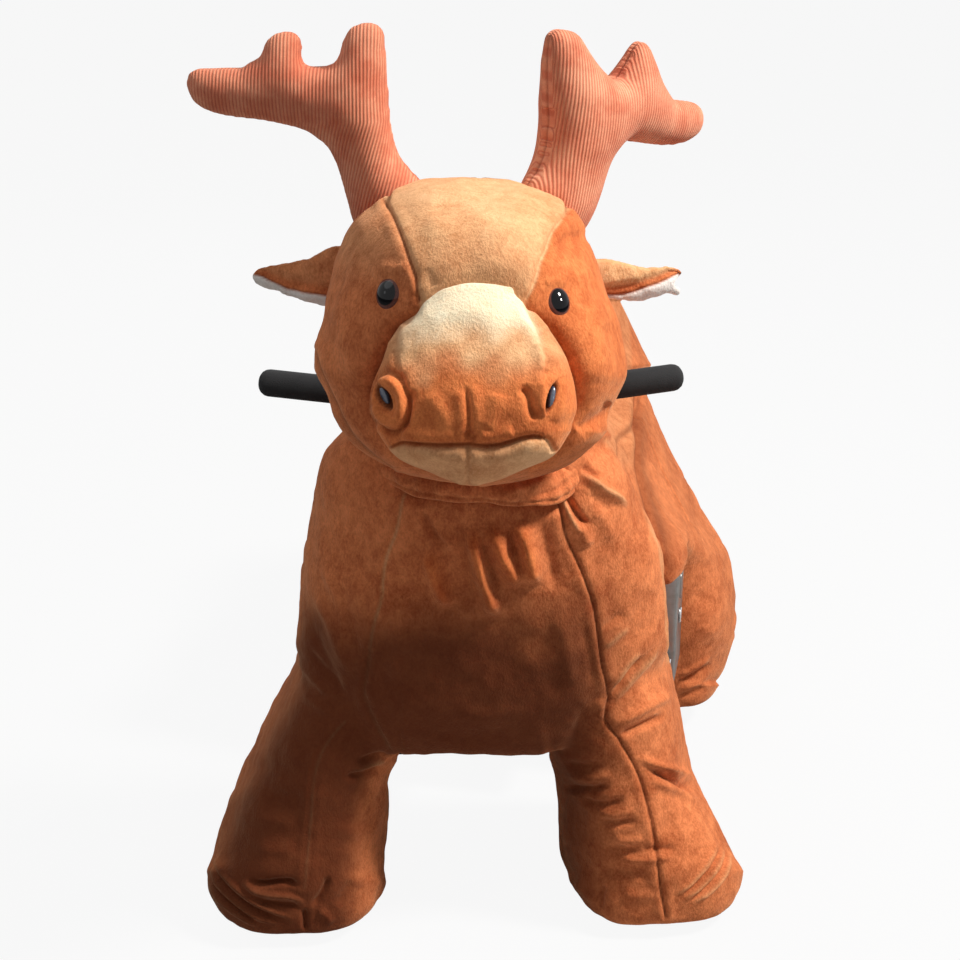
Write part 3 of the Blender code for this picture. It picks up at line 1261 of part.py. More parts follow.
def make_rear_plush():
    torso = stuffed("torso", [torso_ring(*section) for section in TORSO_SECTIONS], ride, PLUSH)
    for side, word in ((1, "left"), (-1, "right")):
        leg = stuffed("rear_leg_" + word, [level_ring(z, side * x, WHEELBASE + y, w, d, 2.5)
                                           for z, x, y, w, d in REAR_LEG_SECTIONS], ride, PLUSH)
        trim(leg, torso)
        inner = REAR_TRACK / 2 - TYRE_WIDTH / 2 - 0.010
        outer = REAR_TRACK / 2 + TYRE_WIDTH / 2 + 0.015
        well = wheel_well(ride, side, inner, outer, WHEELBASE)
        start = 0.02 if side > 0 else -inner - 0.02
        cut(well, cylinder("axle_hole", AXLE_RADIUS + PLUSH_CLEARANCE,
                           (start, WHEELBASE, WHEEL_RADIUS), inner, "X", ride, None, COARSE), "UNION")
        cut(leg, well)
    tail = tapered_leaf("tail", TAIL_ROOT, TAIL_TIP, TAIL_WIDTHS, TAIL_THICKNESS, ride, PLUSH)
    trim(tail, torso)
    return torso


def stand_on_origin():
    """Move the whole ride so that the middle of its footprint stands on the world origin."""
    bpy.context.view_layer.update()
    graph = bpy.context.evaluated_depsgraph_get()
    corners = []
    for piece in PARTS.objects:
        if piece.type == "MESH":
            seen = piece.evaluated_get(graph)
            corners += [seen.matrix_world @ vert.co for vert in seen.data.vertices]
    lows = [min(corner[axis] for corner in corners) for axis in range(3)]
    highs = [max(corner[axis] for corner in corners) for axis in range(3)]
    ride.location = (-(lows[0] + highs[0]) / 2, -(lows[1] + highs[1]) / 2, -lows[2])


make_backbone()
make_headset()
make_axle_bearings()
make_drive()
make_power()
make_seat_support()
make_foot_pegs()
make_coin_box()
make_rear_wheels()
make_front_carrier()
make_steering()
make_controls()
make_front_plush()
make_rear_plush()
stand_on_origin()
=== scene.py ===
"""Looks of the plush animal ride-on: camera, light, stuffed pieces and materials.

The stuffed pieces are lofted from sections, joined where the cloth runs on, set to the outline
the animal shows from the front, and then worked in relief: seams, gathers, creases and rolls.
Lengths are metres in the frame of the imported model, which looks along -Y and stands on z = 0.
Lines in the picture plane are pixels of a 960 pixel square seen through the scene's camera.
"""

import math

import bmesh
import bpy
import numpy as np
from mathutils import Matrix, Vector
from mathutils.bvhtree import BVHTree


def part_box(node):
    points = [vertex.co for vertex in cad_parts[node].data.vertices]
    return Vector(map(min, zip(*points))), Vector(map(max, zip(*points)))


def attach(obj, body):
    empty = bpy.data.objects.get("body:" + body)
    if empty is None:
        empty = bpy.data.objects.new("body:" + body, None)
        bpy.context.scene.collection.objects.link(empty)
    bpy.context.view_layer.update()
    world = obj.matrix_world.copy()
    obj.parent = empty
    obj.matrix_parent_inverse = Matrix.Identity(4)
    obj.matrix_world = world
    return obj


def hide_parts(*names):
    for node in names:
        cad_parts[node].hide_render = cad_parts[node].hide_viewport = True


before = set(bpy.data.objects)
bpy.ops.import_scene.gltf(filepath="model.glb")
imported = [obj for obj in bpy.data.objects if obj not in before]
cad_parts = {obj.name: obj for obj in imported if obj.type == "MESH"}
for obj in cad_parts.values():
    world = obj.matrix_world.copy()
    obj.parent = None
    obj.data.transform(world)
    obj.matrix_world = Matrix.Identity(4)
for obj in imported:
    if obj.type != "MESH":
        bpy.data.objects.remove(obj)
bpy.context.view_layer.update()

# Where things stand

PICTURE = 960
LENS_PIXELS = 1725.0
PRINCIPAL_X = 475.0
CAMERA_AZIMUTH = math.radians(11.5)
CAMERA_PITCH = math.radians(21.0)
CAMERA_DISTANCE = 1.90
CAMERA_HEIGHT = 1.25
STEERING_AT_REST = math.radians(14.0)
HEAD_TURN = math.radians(-4.0)
HEAD_PIVOT = 0.12

# Frames with their origin on the steering axis: the steered front, the head on it, and the chassis
headset_low, headset_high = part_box("headset_upper")
AXIS = Vector(((headset_low.x + headset_high.x) / 2, (headset_low.y + headset_high.y) / 2, 0))
STEERING = Matrix.Translation(AXIS) @ Matrix.Rotation(STEERING_AT_REST, 4, "Z")
HEAD = (STEERING @ Matrix.Translation((0, -HEAD_PIVOT, 0)) @ Matrix.Rotation(HEAD_TURN, 4, "Z")
        @ Matrix.Translation((0, HEAD_PIVOT, 0)))
CHASSIS = Matrix.Translation(AXIS)


# Camera

SENSOR_WIDTH = 36.0
heading = Vector((-math.sin(CAMERA_AZIMUTH), math.cos(CAMERA_AZIMUTH), 0))
EYE = AXIS - heading * CAMERA_DISTANCE + Vector((0, 0, CAMERA_HEIGHT))
LOOK = heading * math.cos(CAMERA_PITCH) - Vector((0, 0, math.sin(CAMERA_PITCH)))
RIGHT = Vector((math.cos(CAMERA_AZIMUTH), math.sin(CAMERA_AZIMUTH), 0))
UP = RIGHT.cross(LOOK)
camera_data = bpy.data.cameras.new("camera")
camera_data.sensor_width = SENSOR_WIDTH
camera_data.lens = LENS_PIXELS / PICTURE * SENSOR_WIDTH
camera_data.shift_x = (PICTURE / 2 - PRINCIPAL_X) / PICTURE
camera_data.clip_end = 50.0
camera = bpy.data.objects.new("camera", camera_data)
camera.matrix_world = Matrix((RIGHT, UP, -LOOK)).transposed().to_4x4()
camera.location = EYE
bpy.context.scene.collection.objects.link(camera)
bpy.context.scene.camera = camera


def picture(points):
    """Pixel column, pixel row and depth of points as the camera sees them."""
    away = points - np.array(EYE)
    depth = away @ np.array(LOOK)
    column = PRINCIPAL_X + LENS_PIXELS * (away @ np.array(RIGHT)) / depth
    row = PICTURE / 2 - LENS_PIXELS * (away @ np.array(UP)) / depth
    return column, row, depth


def on_plane(pixels, point, normal):
    """Where the sight lines through pixels meet a plane."""
    pixels = np.asarray(pixels, float)
    rays = (np.array(LOOK)[None] + (pixels[:, :1] - PRINCIPAL_X) / LENS_PIXELS * np.array(RIGHT)[None]
            - (pixels[:, 1:2] - PICTURE / 2) / LENS_PIXELS * np.array(UP)[None])
    reach = ((np.array(point) - np.array(EYE)) @ np.array(normal)) / (rays @ np.array(normal))
    return np.array(EYE) + rays * reach[:, None]


# Numbers on surfaces

def lumps(points, size, seed):
    """Smooth noise from -1 to 1 whose lumps are about this size."""
    place = points / size + np.array((seed * 17.31, seed * 5.77, seed * 11.13))
    # Each corner of the grid gets its value from a fixed mixing of its whole numbers
    cell = np.floor(place).astype(np.int64)
    share = place - cell
    share = share * share * (3 - 2 * share)
    total = np.zeros(len(points))
    for corner in range(8):
        step = np.array(((corner >> 2) & 1, (corner >> 1) & 1, corner & 1))
        spot = cell + step
        code = (spot[:, 0] * 374761393 + spot[:, 1] * 668265263 + spot[:, 2] * 1274126177) & 0xFFFFFFFF
        code = ((code ^ (code >> 13)) * 1103515245 + 12345) & 0xFFFFFFFF
        value = ((code >> 8) & 0xFFFF) / 32767.5 - 1
        total += value * np.prod(np.where(step == 1, share, 1 - share), axis=1)
    return total


def ramp(value, low, high):
    """A smooth rise from 0 at low to 1 at high."""
    share = np.clip((value - low) / (high - low), 0, 1)
    return share * share * (3 - 2 * share)


def bell(value, width):
    """A smooth hump, 1 where value is 0."""
    return np.exp(-(value / width) ** 2)


def faded(along, ends):
    """1 along a line, falling to 0 over the share ends at both of its ends."""
    return ramp(along, 0, ends) * ramp(1 - along, 0, ends) if ends else 1.0


def curve_through(points, count):
    """A smooth line through points, sampled evenly."""
    points = np.asarray(points, float)
    padded = np.vstack((2 * points[0] - points[1], points, 2 * points[-1] - points[-2]))
    found = []
    for i in range(len(points) - 1):
        a, b, c, d = padded[i:i + 4]
        t = np.linspace(0, 1, 12, endpoint=False)[:, None]
        found.append(0.5 * (2 * b + (c - a) * t + (2 * a - 5 * b + 4 * c - d) * t ** 2
                            + (3 * b - a - 3 * c + d) * t ** 3))
    found = np.vstack((*found, points[-1:]))
    length = np.concatenate(([0], np.cumsum(np.linalg.norm(np.diff(found, axis=0), axis=1))))
    want = np.linspace(0, length[-1], count)
    return np.stack([np.interp(want, length, found[:, k]) for k in range(found.shape[1])], axis=1)


def column_of(line, row):
    """The column of a picture line at rows."""
    line = curve_through(line, 40)
    return np.interp(row, line[:, 1], line[:, 0])


def line_distance(points, line):
    """Distance to a line of joined points, and the share of its length there."""
    best = np.full(len(points), 1e9)
    along = np.zeros(len(points))
    legs = np.linalg.norm(np.diff(line, axis=0), axis=1)
    before = np.concatenate(([0], np.cumsum(legs)))
    for i in range(len(line) - 1):
        run = line[i + 1] - line[i]
        off = points - line[i]
        share = np.clip(off @ run / (run @ run), 0, 1)
        gap = off - share[:, None] * run
        far = np.sqrt((gap ** 2).sum(1))
        nearer = far < best
        best[nearer] = far[nearer]
        along[nearer] = (before[i] + share[nearer] * legs[i]) / before[-1]
    return best, along


# Meshes

def new_object(name, mesh):
    """An object in the scene for a mesh."""
    made = bpy.data.objects.new(name, mesh)
    bpy.context.scene.collection.objects.link(made)
    return made


def mesh_of(points, faces, name="piece"):
    """A mesh from points and faces."""
    mesh = bpy.data.meshes.new(name)
    mesh.from_pydata([tuple(point) for point in points], [], faces)
    mesh.update()
    return mesh


def evaluated_mesh(made):
    """The mesh of an object with its modifiers applied; the object goes."""
    bpy.context.view_layer.update()
    graph = bpy.context.evaluated_depsgraph_get()
    mesh = bpy.data.meshes.new_from_object(made.evaluated_get(graph))
    bpy.data.objects.remove(made)
    return mesh


def coordinates(mesh):
    """The vertices of a mesh as rows."""
    points = np.empty(len(mesh.vertices) * 3)
    mesh.vertices.foreach_get("co", points)
    return points.reshape(-1, 3)


def normals(mesh):
    """The vertex normals of a mesh as rows."""
    found = np.empty(len(mesh.vertices) * 3)
    mesh.vertex_normals.foreach_get("vector", found)
    return found.reshape(-1, 3)


def set_coordinates(mesh, points):
    """Put the vertices of a mesh at new points."""
    mesh.vertices.foreach_set("co", np.asarray(points, float).ravel())
    mesh.update()


def written(whole, mesh):
    """The mesh, filled from a bmesh that is then freed."""
    whole.to_mesh(mesh)
    whole.free()
    return mesh


def tube(points, rings, sides, name="piece"):
    """A closed mesh through rings of points, with its faces turned outward."""
    faces = []
    for i in range(rings - 1):
        for j in range(sides):
            k = (j + 1) % sides
            faces.append((i * sides + j, i * sides + k, (i + 1) * sides + k, (i + 1) * sides + j))
    faces.append(tuple(range(sides)))
    faces.append(tuple((rings - 1) * sides + j for j in range(sides)))
    mesh = mesh_of(points, faces, name)
    whole = bmesh.new()
    whole.from_mesh(mesh)
    bmesh.ops.recalc_face_normals(whole, faces=whole.faces)
    return written(whole, mesh)


def loft(rings, place, levels=2):
    """A closed stuffed form through rings of points, in the frame place."""
    points = [place @ Vector(point) for ring in rings for point in ring]
    made = new_object("loft", tube(points, len(rings), len(rings[0])))
    smooth = made.modifiers.new("smooth", "SUBSURF")
    smooth.levels = levels
    smooth.render_levels = levels
    return evaluated_mesh(made)


def carved(mesh, cutters):
    """A mesh with closed cutter meshes taken out of it."""
    made = new_object("carved", mesh)
    tools = []
    for cutter in cutters:
        tool = new_object("tool", cutter)
        tools.append(tool)
        step = made.modifiers.new("cut", "BOOLEAN")
        step.operation = "DIFFERENCE"
        step.solver = "EXACT"
        step.object = tool
    found = evaluated_mesh(made)
    for tool in tools:
        bpy.data.objects.remove(tool)
    return found


def one_skin(meshes, voxel, rounds):
    """Several closed meshes made one even skin, with the corners between them eased."""
    whole = bmesh.new()
    for mesh in meshes:
        whole.from_mesh(mesh)
    made = new_object("skin", written(whole, bpy.data.meshes.new("joined")))
    even = made.modifiers.new("even", "REMESH")
    even.mode = "VOXEL"
    even.voxel_size = voxel
    even.adaptivity = 0.0
    ease = made.modifiers.new("ease", "SMOOTH")
    ease.factor = 0.5
    ease.iterations = rounds
    return evaluated_mesh(made)


def superellipse(count, half_width, half_height, power=2.0, taper=0.0):
    """Points of a rounded box or oval, narrower at its top by the share taper."""
    points = []
    for i in range(count):
        angle = 2 * math.pi * (i + 0.5) / count
        across = math.copysign(abs(math.cos(angle)) ** (2 / power), math.cos(angle))
        along = math.copysign(abs(math.sin(angle)) ** (2 / power), math.sin(angle))
        points.append((half_width * across * (1 - taper * along), half_height * along))
    return points


# Points in each section of a stuffed form
RING = 16


def level_ring(z, cx, cy, half_width, half_depth, power=2.4):
    """A level section at a height."""
    return [(cx + x, cy + y, z) for x, y in superellipse(RING, half_width, half_depth, power)]


def facing_ring(y, cz, half_width, half_height, power, taper):
    """An upright section across the middle at a depth."""
    return [(x, y, cz + z) for x, z in superellipse(RING, half_width, half_height, power, taper)]


# How far a surface has to turn to the camera, as a cosine, to count as seen
SEEN = 0.02
# A raised fold narrower than this, in millimetres, gets a painted highlight: its crest is painted paler
# along the edge
THIN_FOLD = 4.1
# Distance of the nearest cloth from the camera
NEAREST = 1.4
# The cloth swells this far beside a seam, over this width
SWELL_BESIDE = 0.007
SWELL_WIDTH = 0.006
# How far from its line a seam in the picture is looked for, and the width of the painted highlight along it
SEAM_REACH = 0.020
SEAM_LIGHT = 0.0016


class Relief:
    """Surface work on one mesh: lines and patches placed in the picture or in space."""

    def __init__(self, mesh):
        self.mesh = mesh
        self.refresh()
        self.masks = {}

    def refresh(self):
        """Read the surface and how the camera sees it again."""
        self.points = coordinates(self.mesh)
        self.normals = normals(self.mesh)
        self.column, self.row, self.depth = picture(self.points)
        sight = np.array(EYE) - self.points
        sight /= np.linalg.norm(sight, axis=1)[:, None]
        self.facing = (self.normals * sight).sum(1)
        self.lift = np.zeros(len(self.points))

    def move(self, points):
        """Put the surface at new points."""
        set_coordinates(self.mesh, points)
        self.refresh()

    def apply(self):
        """Raise the surface by what the strokes have asked for."""
        self.move(self.points + self.normals * self.lift[:, None])

    def near(self, line, reach, facing=SEEN):
        """Vertices seen by the camera within reach metres of a picture line."""
        line = np.asarray(line, float)
        margin = reach * LENS_PIXELS / NEAREST
        low, high = line.min(0) - margin, line.max(0) + margin
        inside = ((self.column > low[0]) & (self.column < high[0]) & (self.row > low[1])
                  & (self.row < high[1]) & (self.facing > facing))
        found = np.nonzero(inside)[0]
        pixels = np.stack((self.column[found], self.row[found]), axis=1)
        far, along = line_distance(pixels, line)
        metres = far * self.depth[found] / LENS_PIXELS
        close = metres < reach
        return found[close], metres[close], along[close]

    def stroke(self, line, height, width, ends=0.15, count=24, tone=0.0, light=0.0):
        """A rounded ridge, or a furrow if height is negative, fading at both ends; tone paints shade along
        it and light paints a highlight on it.
        """
        found, far, along = self.near(curve_through(line, count), width * 3)
        fade = faded(along, ends)
        seen = ramp(self.facing[found], SEEN, SEEN + 0.15)
        self.lift[found] += height * bell(far, width) * fade * seen
        core = bell(far, width * 0.7) * fade * seen
        # Painted shade along a furrow (tone) and a painted highlight along a ridge (light)
        self.mark("seam", max(tone, 0.0) * core, found)
        self.mark("tan", light * core, found)

    def strokes(self, rows, ends=0.15, tone=0.0, light=0.0):
        """Strokes in millimetres, the deep ones darkened with painted shade and the thin raised ones paled
        with a painted highlight.
        """
        for line, height, width in rows:
            pale = light if height > 0 and width < THIN_FOLD else 0.0
            self.stroke(line, height / 1000, width / 1000, ends, tone=tone * (-height - 2.5), light=pale)

    def sew(self, far, found, share, depth, width, swell, tone):
        """A narrow furrow between two low swells, and a mask for its colour."""
        beside = swell * bell(far - SWELL_BESIDE, SWELL_WIDTH)
        self.lift[found] += (beside - depth * bell(far, width)) * share
        self.mark("seam", tone * bell(far, width * 0.6) * share, found)

    def seam(self, line, depth, width, swell, tone, ends=0.0, light=0.0):
        """A sewn seam along a line in the picture, with a painted highlight along it where light is given.
        """
        found, far, along = self.near(curve_through(line, 40), SEAM_REACH)
        share = ramp(self.facing[found], SEEN, 0.15) * faded(along, ends)
        self.sew(far, found, share, depth, width, swell, tone)
        # Painted highlight along the seam
        self.mark("tan", light * bell(far, SEAM_LIGHT) * share, found)

    def plane_seam(self, place, point, normal, mask, depth=0.0022, width=0.0022, swell=0.0010, tone=0.7):
        """A sewn seam where a plane given in a frame meets the surface."""
        point = np.array(place @ Vector(point))
        normal = np.array(place.to_3x3() @ Vector(normal).normalized())
        far = np.abs((self.points - point) @ normal)
        self.sew(far, slice(None), mask, depth, width, swell, tone)

    def mark(self, name, value, found=slice(None)):
        """Raise a mask to a value where it is lower."""
        mask = self.masks.setdefault(name, np.zeros(len(self.points)))
        mask[found] = np.maximum(mask[found], value)

    def soften(self, weight, rounds):
        """Ease the surface where weight says so, as cloth pulled over a joint."""
        edges = np.empty(len(self.mesh.edges) * 2, np.int64)
        self.mesh.edges.foreach_get("vertices", edges)
        edges = edges.reshape(-1, 2)
        start = np.concatenate((edges[:, 0], edges[:, 1]))
        end = np.concatenate((edges[:, 1], edges[:, 0]))
        count = np.maximum(np.bincount(start, minlength=len(self.points)), 1)
        points = self.points.copy()
        for _ in range(rounds):
            for axis in range(3):
                near = np.bincount(start, points[end, axis], len(points)) / count
                points[:, axis] += weight * 0.6 * (near - points[:, axis])
        self.move(points)

    def crease(self, other, depth, width, tone, share=None):
        """Press the surface in round the line where another piece is sewn on, with painted shade in the
        crease.
        """
        corners = coordinates(other)
        tree = BVHTree.FromPolygons([tuple(point) for point in corners],
                                    [tuple(face.vertices) for face in other.polygons])
        low, high = corners.min(0) - width * 3, corners.max(0) + width * 3
        close = ((self.points > low) & (self.points < high)).all(1)
        for i in np.nonzero(close)[0]:
            far = tree.find_nearest(self.points[i], width * 3)[3]
            if far is not None:
                part = 1.0 if share is None else share[i]
                self.lift[i] -= depth * part * math.exp(-(far / width) ** 2)
                # Painted shade: the crease is darkened where the pieces meet
                self.mark("seam", tone * part * math.exp(-(far / (width * 0.45)) ** 2), i)

    def fit_lower(self, line, fixed, select):
        """Stretch the form down in the picture until its lower edge meets the line."""
        line = np.asarray(line, float)
        fade = 8.0
        columns = np.arange(line[0, 0], line[-1, 0] + 1, 3.0)
        chosen = np.nonzero(select & (self.row > fixed))[0]
        now = np.full(len(columns), np.nan)
        for i, spot in enumerate(columns):
            band = np.abs(self.column[chosen] - spot) < 2.5
            if band.any():
                now[i] = self.row[chosen][band].max()
        good = ~np.isnan(now)
        want = np.interp(columns, line[:, 0], line[:, 1])
        scale = (want[good] - fixed) / (now[good] - fixed)
        share = (ramp(self.column[chosen], line[0, 0] - fade, line[0, 0] + fade)
                 * ramp(-self.column[chosen], -line[-1, 0] - fade, -line[-1, 0] + fade))
        factor = 1 + (np.interp(self.column[chosen], columns[good], scale) - 1) * share
        drop = (self.row[chosen] - fixed) * (factor - 1) * self.depth[chosen] / LENS_PIXELS
        points = self.points.copy()
        points[chosen] -= drop[:, None] * np.array(UP)
        self.move(points)

    def fit_round(self, centre, outline):
        """Stretch the form away from a picture point until its outline meets the line round it."""
        line = curve_through(outline, 240) - np.array(centre, float)
        turn, reach = np.arctan2(line[:, 1], line[:, 0]), np.hypot(line[:, 0], line[:, 1])
        across, down = self.column - centre[0], self.row - centre[1]
        angle, far = np.arctan2(down, across), np.hypot(across, down)
        bins = np.radians(np.arange(-180, 180, 3))
        edge, scale = np.ones(len(bins)), np.ones(len(bins))
        for i, spot in enumerate(bins):
            edge[i] = far[np.abs((angle - spot + math.pi) % (2 * math.pi) - math.pi) < 0.035].max()
            away = np.abs((turn - spot + math.pi) % (2 * math.pi) - math.pi)
            if away.min() < 0.04:
                scale[i] = reach[away.argmin()] / edge[i]
        kernel = np.array((0.25, 0.5, 0.25))
        scale = np.convolve(np.concatenate((scale[-1:], scale, scale[:1])), kernel, mode="valid")
        edge = np.interp(angle, bins, edge, period=2 * math.pi)
        grow = (np.interp(angle, bins, scale, period=2 * math.pi) - 1) * ramp(far / edge, 0.4, 1.0)
        grow = grow * self.depth / LENS_PIXELS
        self.move(self.points + (across * grow)[:, None] * np.array(RIGHT)
                  - (down * grow)[:, None] * np.array(UP))

    def rough(self, size, height, seed):
        """Uneven stuffing: soft lumps of a size and a height."""
        self.lift += height * lumps(self.points, size, seed)

    def fit_outline(self, left=None, right=None, select=None, fade=40.0):
        """Stretch the form sideways in the picture until its outline meets the lines."""
        chosen = np.arange(len(self.points)) if select is None else np.nonzero(select)[0]
        asked = [row for line in (left, right) if line is not None for _, row in line]
        rows = np.arange(min(asked), max(asked) + 1, 4.0)
        column, row = self.column[chosen], self.row[chosen]
        edges = np.full((len(rows), 2), np.nan)
        for i, spot in enumerate(rows):
            band = np.abs(row - spot) < 3.0
            if band.any():
                edges[i] = column[band].min(), column[band].max()
        good = ~np.isnan(edges[:, 0])
        left_now = np.interp(rows, rows[good], edges[good, 0])
        right_now = np.interp(rows, rows[good], edges[good, 1])
        middle = (left_now + right_now) / 2
        scale = np.ones((len(rows), 2))
        for k, (line, now) in enumerate(((left, left_now), (right, right_now))):
            if line is None:
                continue
            line = np.asarray(line, float)
            line = line[np.argsort(line[:, 1])]
            want = np.interp(rows, line[:, 1], line[:, 0])
            weight = ramp(rows, line[0, 1] - 1, line[0, 1] + fade * 0.25)
            weight = weight * ramp(-rows, -line[-1, 1] - 1, -line[-1, 1] + fade * 0.25)
            scale[:, k] = 1 + ((want - middle) / (now - middle) - 1) * weight
        kernel = np.exp(-np.linspace(-2, 2, 9) ** 2)
        kernel /= kernel.sum()
        for k in range(2):
            scale[:, k] = np.convolve(np.pad(scale[:, k], 4, mode="edge"), kernel, mode="valid")
        span = np.interp(row, rows, middle)
        factor = np.where(column < span, np.interp(row, rows, scale[:, 0]),
                          np.interp(row, rows, scale[:, 1]))
        shift = (column - span) * (factor - 1) * self.depth[chosen] / LENS_PIXELS
        points = self.points.copy()
        points[chosen] += shift[:, None] * np.array(RIGHT)
        self.move(points)

    def save_masks(self):
        """Store the masks on the mesh, where the materials read them."""
        for name, mask in self.masks.items():
            layer = self.mesh.attributes.new(name, "FLOAT", "POINT")
            layer.data.foreach_set("value", mask.astype(np.float32))


def finish_piece(name, relief, body, replaces, looks):
    """Hand a finished skin over: its masks, material and body, with the parts it replaces hidden."""
    relief.save_masks()
    relief.mesh.name = name
    piece = new_object(name, relief.mesh)
    relief.mesh.materials.clear()
    relief.mesh.materials.append(looks)
    relief.mesh.shade_smooth()
    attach(piece, body)
    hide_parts(*replaces)


def moved(points, place):
    """Points taken through a frame's matrix."""
    turn = np.array(place)
    return points @ turn[:3, :3].T + turn[:3, 3]


def local(points, place):
    """Points in the axes of a frame."""
    return moved(points, place.inverted())


# Steps after which the swelling of a stuffed outline has settled
SWELL_ROUNDS = 2600


def stuffed(outline, point, normal, fullness, spacing):
    """A form sewn from two flat panels: an outline in the picture, on a plane, filled out.

    Across a long arm of the outline the section is an ellipse, fullness times as thick as wide.
    """
    outline = np.asarray(outline, float)
    closed = curve_through(np.vstack((outline, outline[:1])), len(outline) * 8)[:-1]
    normal = np.array(Vector(normal).normalized())
    across = np.cross((0, 0, 1.0), normal)
    across /= np.linalg.norm(across)
    upward = np.cross(normal, across)
    edge = (on_plane(closed, point, normal) - np.array(point)) @ np.column_stack((across, upward))
    low, high = edge.min(0) - 2 * spacing, edge.max(0) + 2 * spacing
    count = np.ceil((high - low) / spacing).astype(int)
    x = low[0] + spacing * np.arange(count[0])[:, None] + np.zeros(count[1])[None]
    y = low[1] + spacing * np.arange(count[1])[None] + np.zeros(count[0])[:, None]
    inside = np.zeros(x.shape, bool)
    for a, b in zip(edge, np.roll(edge, -1, axis=0)):
        if a[1] != b[1]:
            meets = (a[1] > y) != (b[1] > y)
            inside ^= meets & (x < (b[0] - a[0]) * (y - a[1]) / (b[1] - a[1]) + a[0])
    swell = np.zeros(x.shape)
    for _ in range(SWELL_ROUNDS):
        near = np.zeros(x.shape)
        near[1:-1, 1:-1] = (swell[:-2, 1:-1] + swell[2:, 1:-1] + swell[1:-1, :-2] + swell[1:-1, 2:]) / 4
        swell = np.where(inside, near + spacing ** 2, 0.0)
    half = fullness * np.sqrt(swell / 2)
    number = np.full(x.shape, -1)
    number[inside] = np.arange(inside.sum())
    flat = np.array(point) + x[inside][:, None] * across + y[inside][:, None] * upward
    front = flat + half[inside][:, None] * normal
    back = flat - half[inside][:, None] * normal
    total = int(inside.sum())
    corners = number[:-1, :-1], number[1:, :-1], number[1:, 1:], number[:-1, 1:]
    good = np.min(corners, axis=0) >= 0
    quads = np.stack([corner[good] for corner in corners], axis=1)
    sides = dict.fromkeys((a, b) for quad in quads for a, b in zip(quad, np.roll(quad, -1)))
    rim = [(a, b) for a, b in sides if (b, a) not in sides]
    faces = [tuple(quad) for quad in quads] + [tuple(quad[::-1] + total) for quad in quads]
    faces += [(b, a, a + total, b + total) for a, b in rim]
    mesh = mesh_of(np.vstack((front, back)), [tuple(int(v) for v in face) for face in faces])
    whole = bmesh.new()
    whole.from_mesh(mesh)
    bmesh.ops.delete(whole, geom=[v for v in whole.verts if not v.link_faces], context="VERTS")
    return written(whole, mesh)


# Room for the wheels inside the feet

WHEEL_RADIUS = 0.100
WELL_RADIUS = 0.112
# Inner and outer walls of the rooms, counted from the middle of the ride
FRONT_WELL_INNER = 0.152
REAR_WELL_INNER = 0.165
WELL_OUTER = 0.240
# Space kept between the cloth and the walls
WELL_WALL = 0.006
FRONT_AXLE_Y = -0.035
REAR_AXLE_Y = 0.480
WELL_BOTTOM = -0.05
GROUND_GAP = 0.003


def well_cutters(place, side, inner, y):
    """A drum about a wheel, and a box that opens it downwards."""
    start, end = sorted((side * inner, side * WELL_OUTER))
    whole = bmesh.new()
    bmesh.ops.create_cone(whole, cap_ends=True, segments=48, radius1=WELL_RADIUS, radius2=WELL_RADIUS,
                          depth=end - start)
    drum = written(whole, bpy.data.meshes.new("drum"))
    hub = place @ Matrix.Translation((0, y, WHEEL_RADIUS))
    lying = Matrix.Translation(((start + end) / 2, 0, 0)) @ Matrix.Rotation(math.pi / 2, 4, "Y")
    drum.transform(hub @ lying)
    whole = bmesh.new()
    bmesh.ops.create_cube(whole, size=1.0)
    mouth = written(whole, bpy.data.meshes.new("mouth"))
    low = Vector((start, y - WELL_RADIUS, WELL_BOTTOM))
    high = Vector((end, y + WELL_RADIUS, WHEEL_RADIUS))
    mouth.transform(place @ Matrix.Translation((low + high) / 2) @ Matrix.Diagonal((*(high - low), 1)))
    return [drum, mouth]


def legs(sections, place, inner, y):
    """A left and a right leg through sections, each with room for its wheel."""
    made = []
    for side in (1, -1):
        leg = loft([level_ring(z, side * x, cy, w, d, 2.5) for z, x, cy, w, d in sections], place)
        made.append(carved(leg, well_cutters(place, side, inner, y)))
    return made


def keep_clear(points, place, side, inner, y):
    """Push points that came into a wheel's room back to its nearest wall."""
    spots = local(points, place)
    inner, outer, reach = inner + WELL_WALL, WELL_OUTER - WELL_WALL, WELL_RADIUS - WELL_WALL
    across = side * spots[:, 0]
    radial = np.hypot(spots[:, 1] - y, spots[:, 2] - WHEEL_RADIUS)
    inside = (across > inner) & (across < outer) & (radial < reach)
    nearer_inner = across - inner < outer - across
    sideways = np.minimum(across - inner, outer - across) < reach - radial
    aside = inside & sideways
    spots[aside, 0] = side * np.where(nearer_inner, inner, outer)[aside]
    out = inside & ~sideways
    stretch = reach / np.maximum(radial[out], 1e-6)
    spots[out, 1] = y + (spots[out, 1] - y) * stretch
    spots[out, 2] = WHEEL_RADIUS + (spots[out, 2] - WHEEL_RADIUS) * stretch
    return moved(spots, place)


def clear_wheels(skin, place, inner, y):
    """Keep a skin out of both wheels' rooms and off the ground."""
    points = skin.points
    for side in (1, -1):
        points = keep_clear(points, place, side, inner, y)
    points[:, 2] = np.maximum(points[:, 2], GROUND_GAP)
    set_coordinates(skin.mesh, points)


# Materials

def tint(red, green, blue):
    """A linear colour from 0-255 screen values."""
    return tuple(((value / 255 + 0.055) / 1.055) ** 2.4 if value > 10 else value / 255 / 12.92
                 for value in (red, green, blue)) + (1.0,)


def feed(tree, socket, value):
    """Link a socket, or set its constant."""
    if isinstance(value, bpy.types.NodeSocket):
        tree.links.new(value, socket)
    else:
        socket.default_value = value


def add_node(tree, kind, **values):
    """A new node, with the sockets that are named linked or set."""
    node = tree.nodes.new("ShaderNode" + kind)
    for name, value in values.items():
        feed(tree, node.inputs[name.replace("_", " ")], value)
    return node


def add_math(tree, operation, first, second):
    """The value of a math node."""
    node = add_node(tree, "Math")
    node.operation = operation
    feed(tree, node.inputs[0], first)
    feed(tree, node.inputs[1], second)
    return node.outputs["Value"]


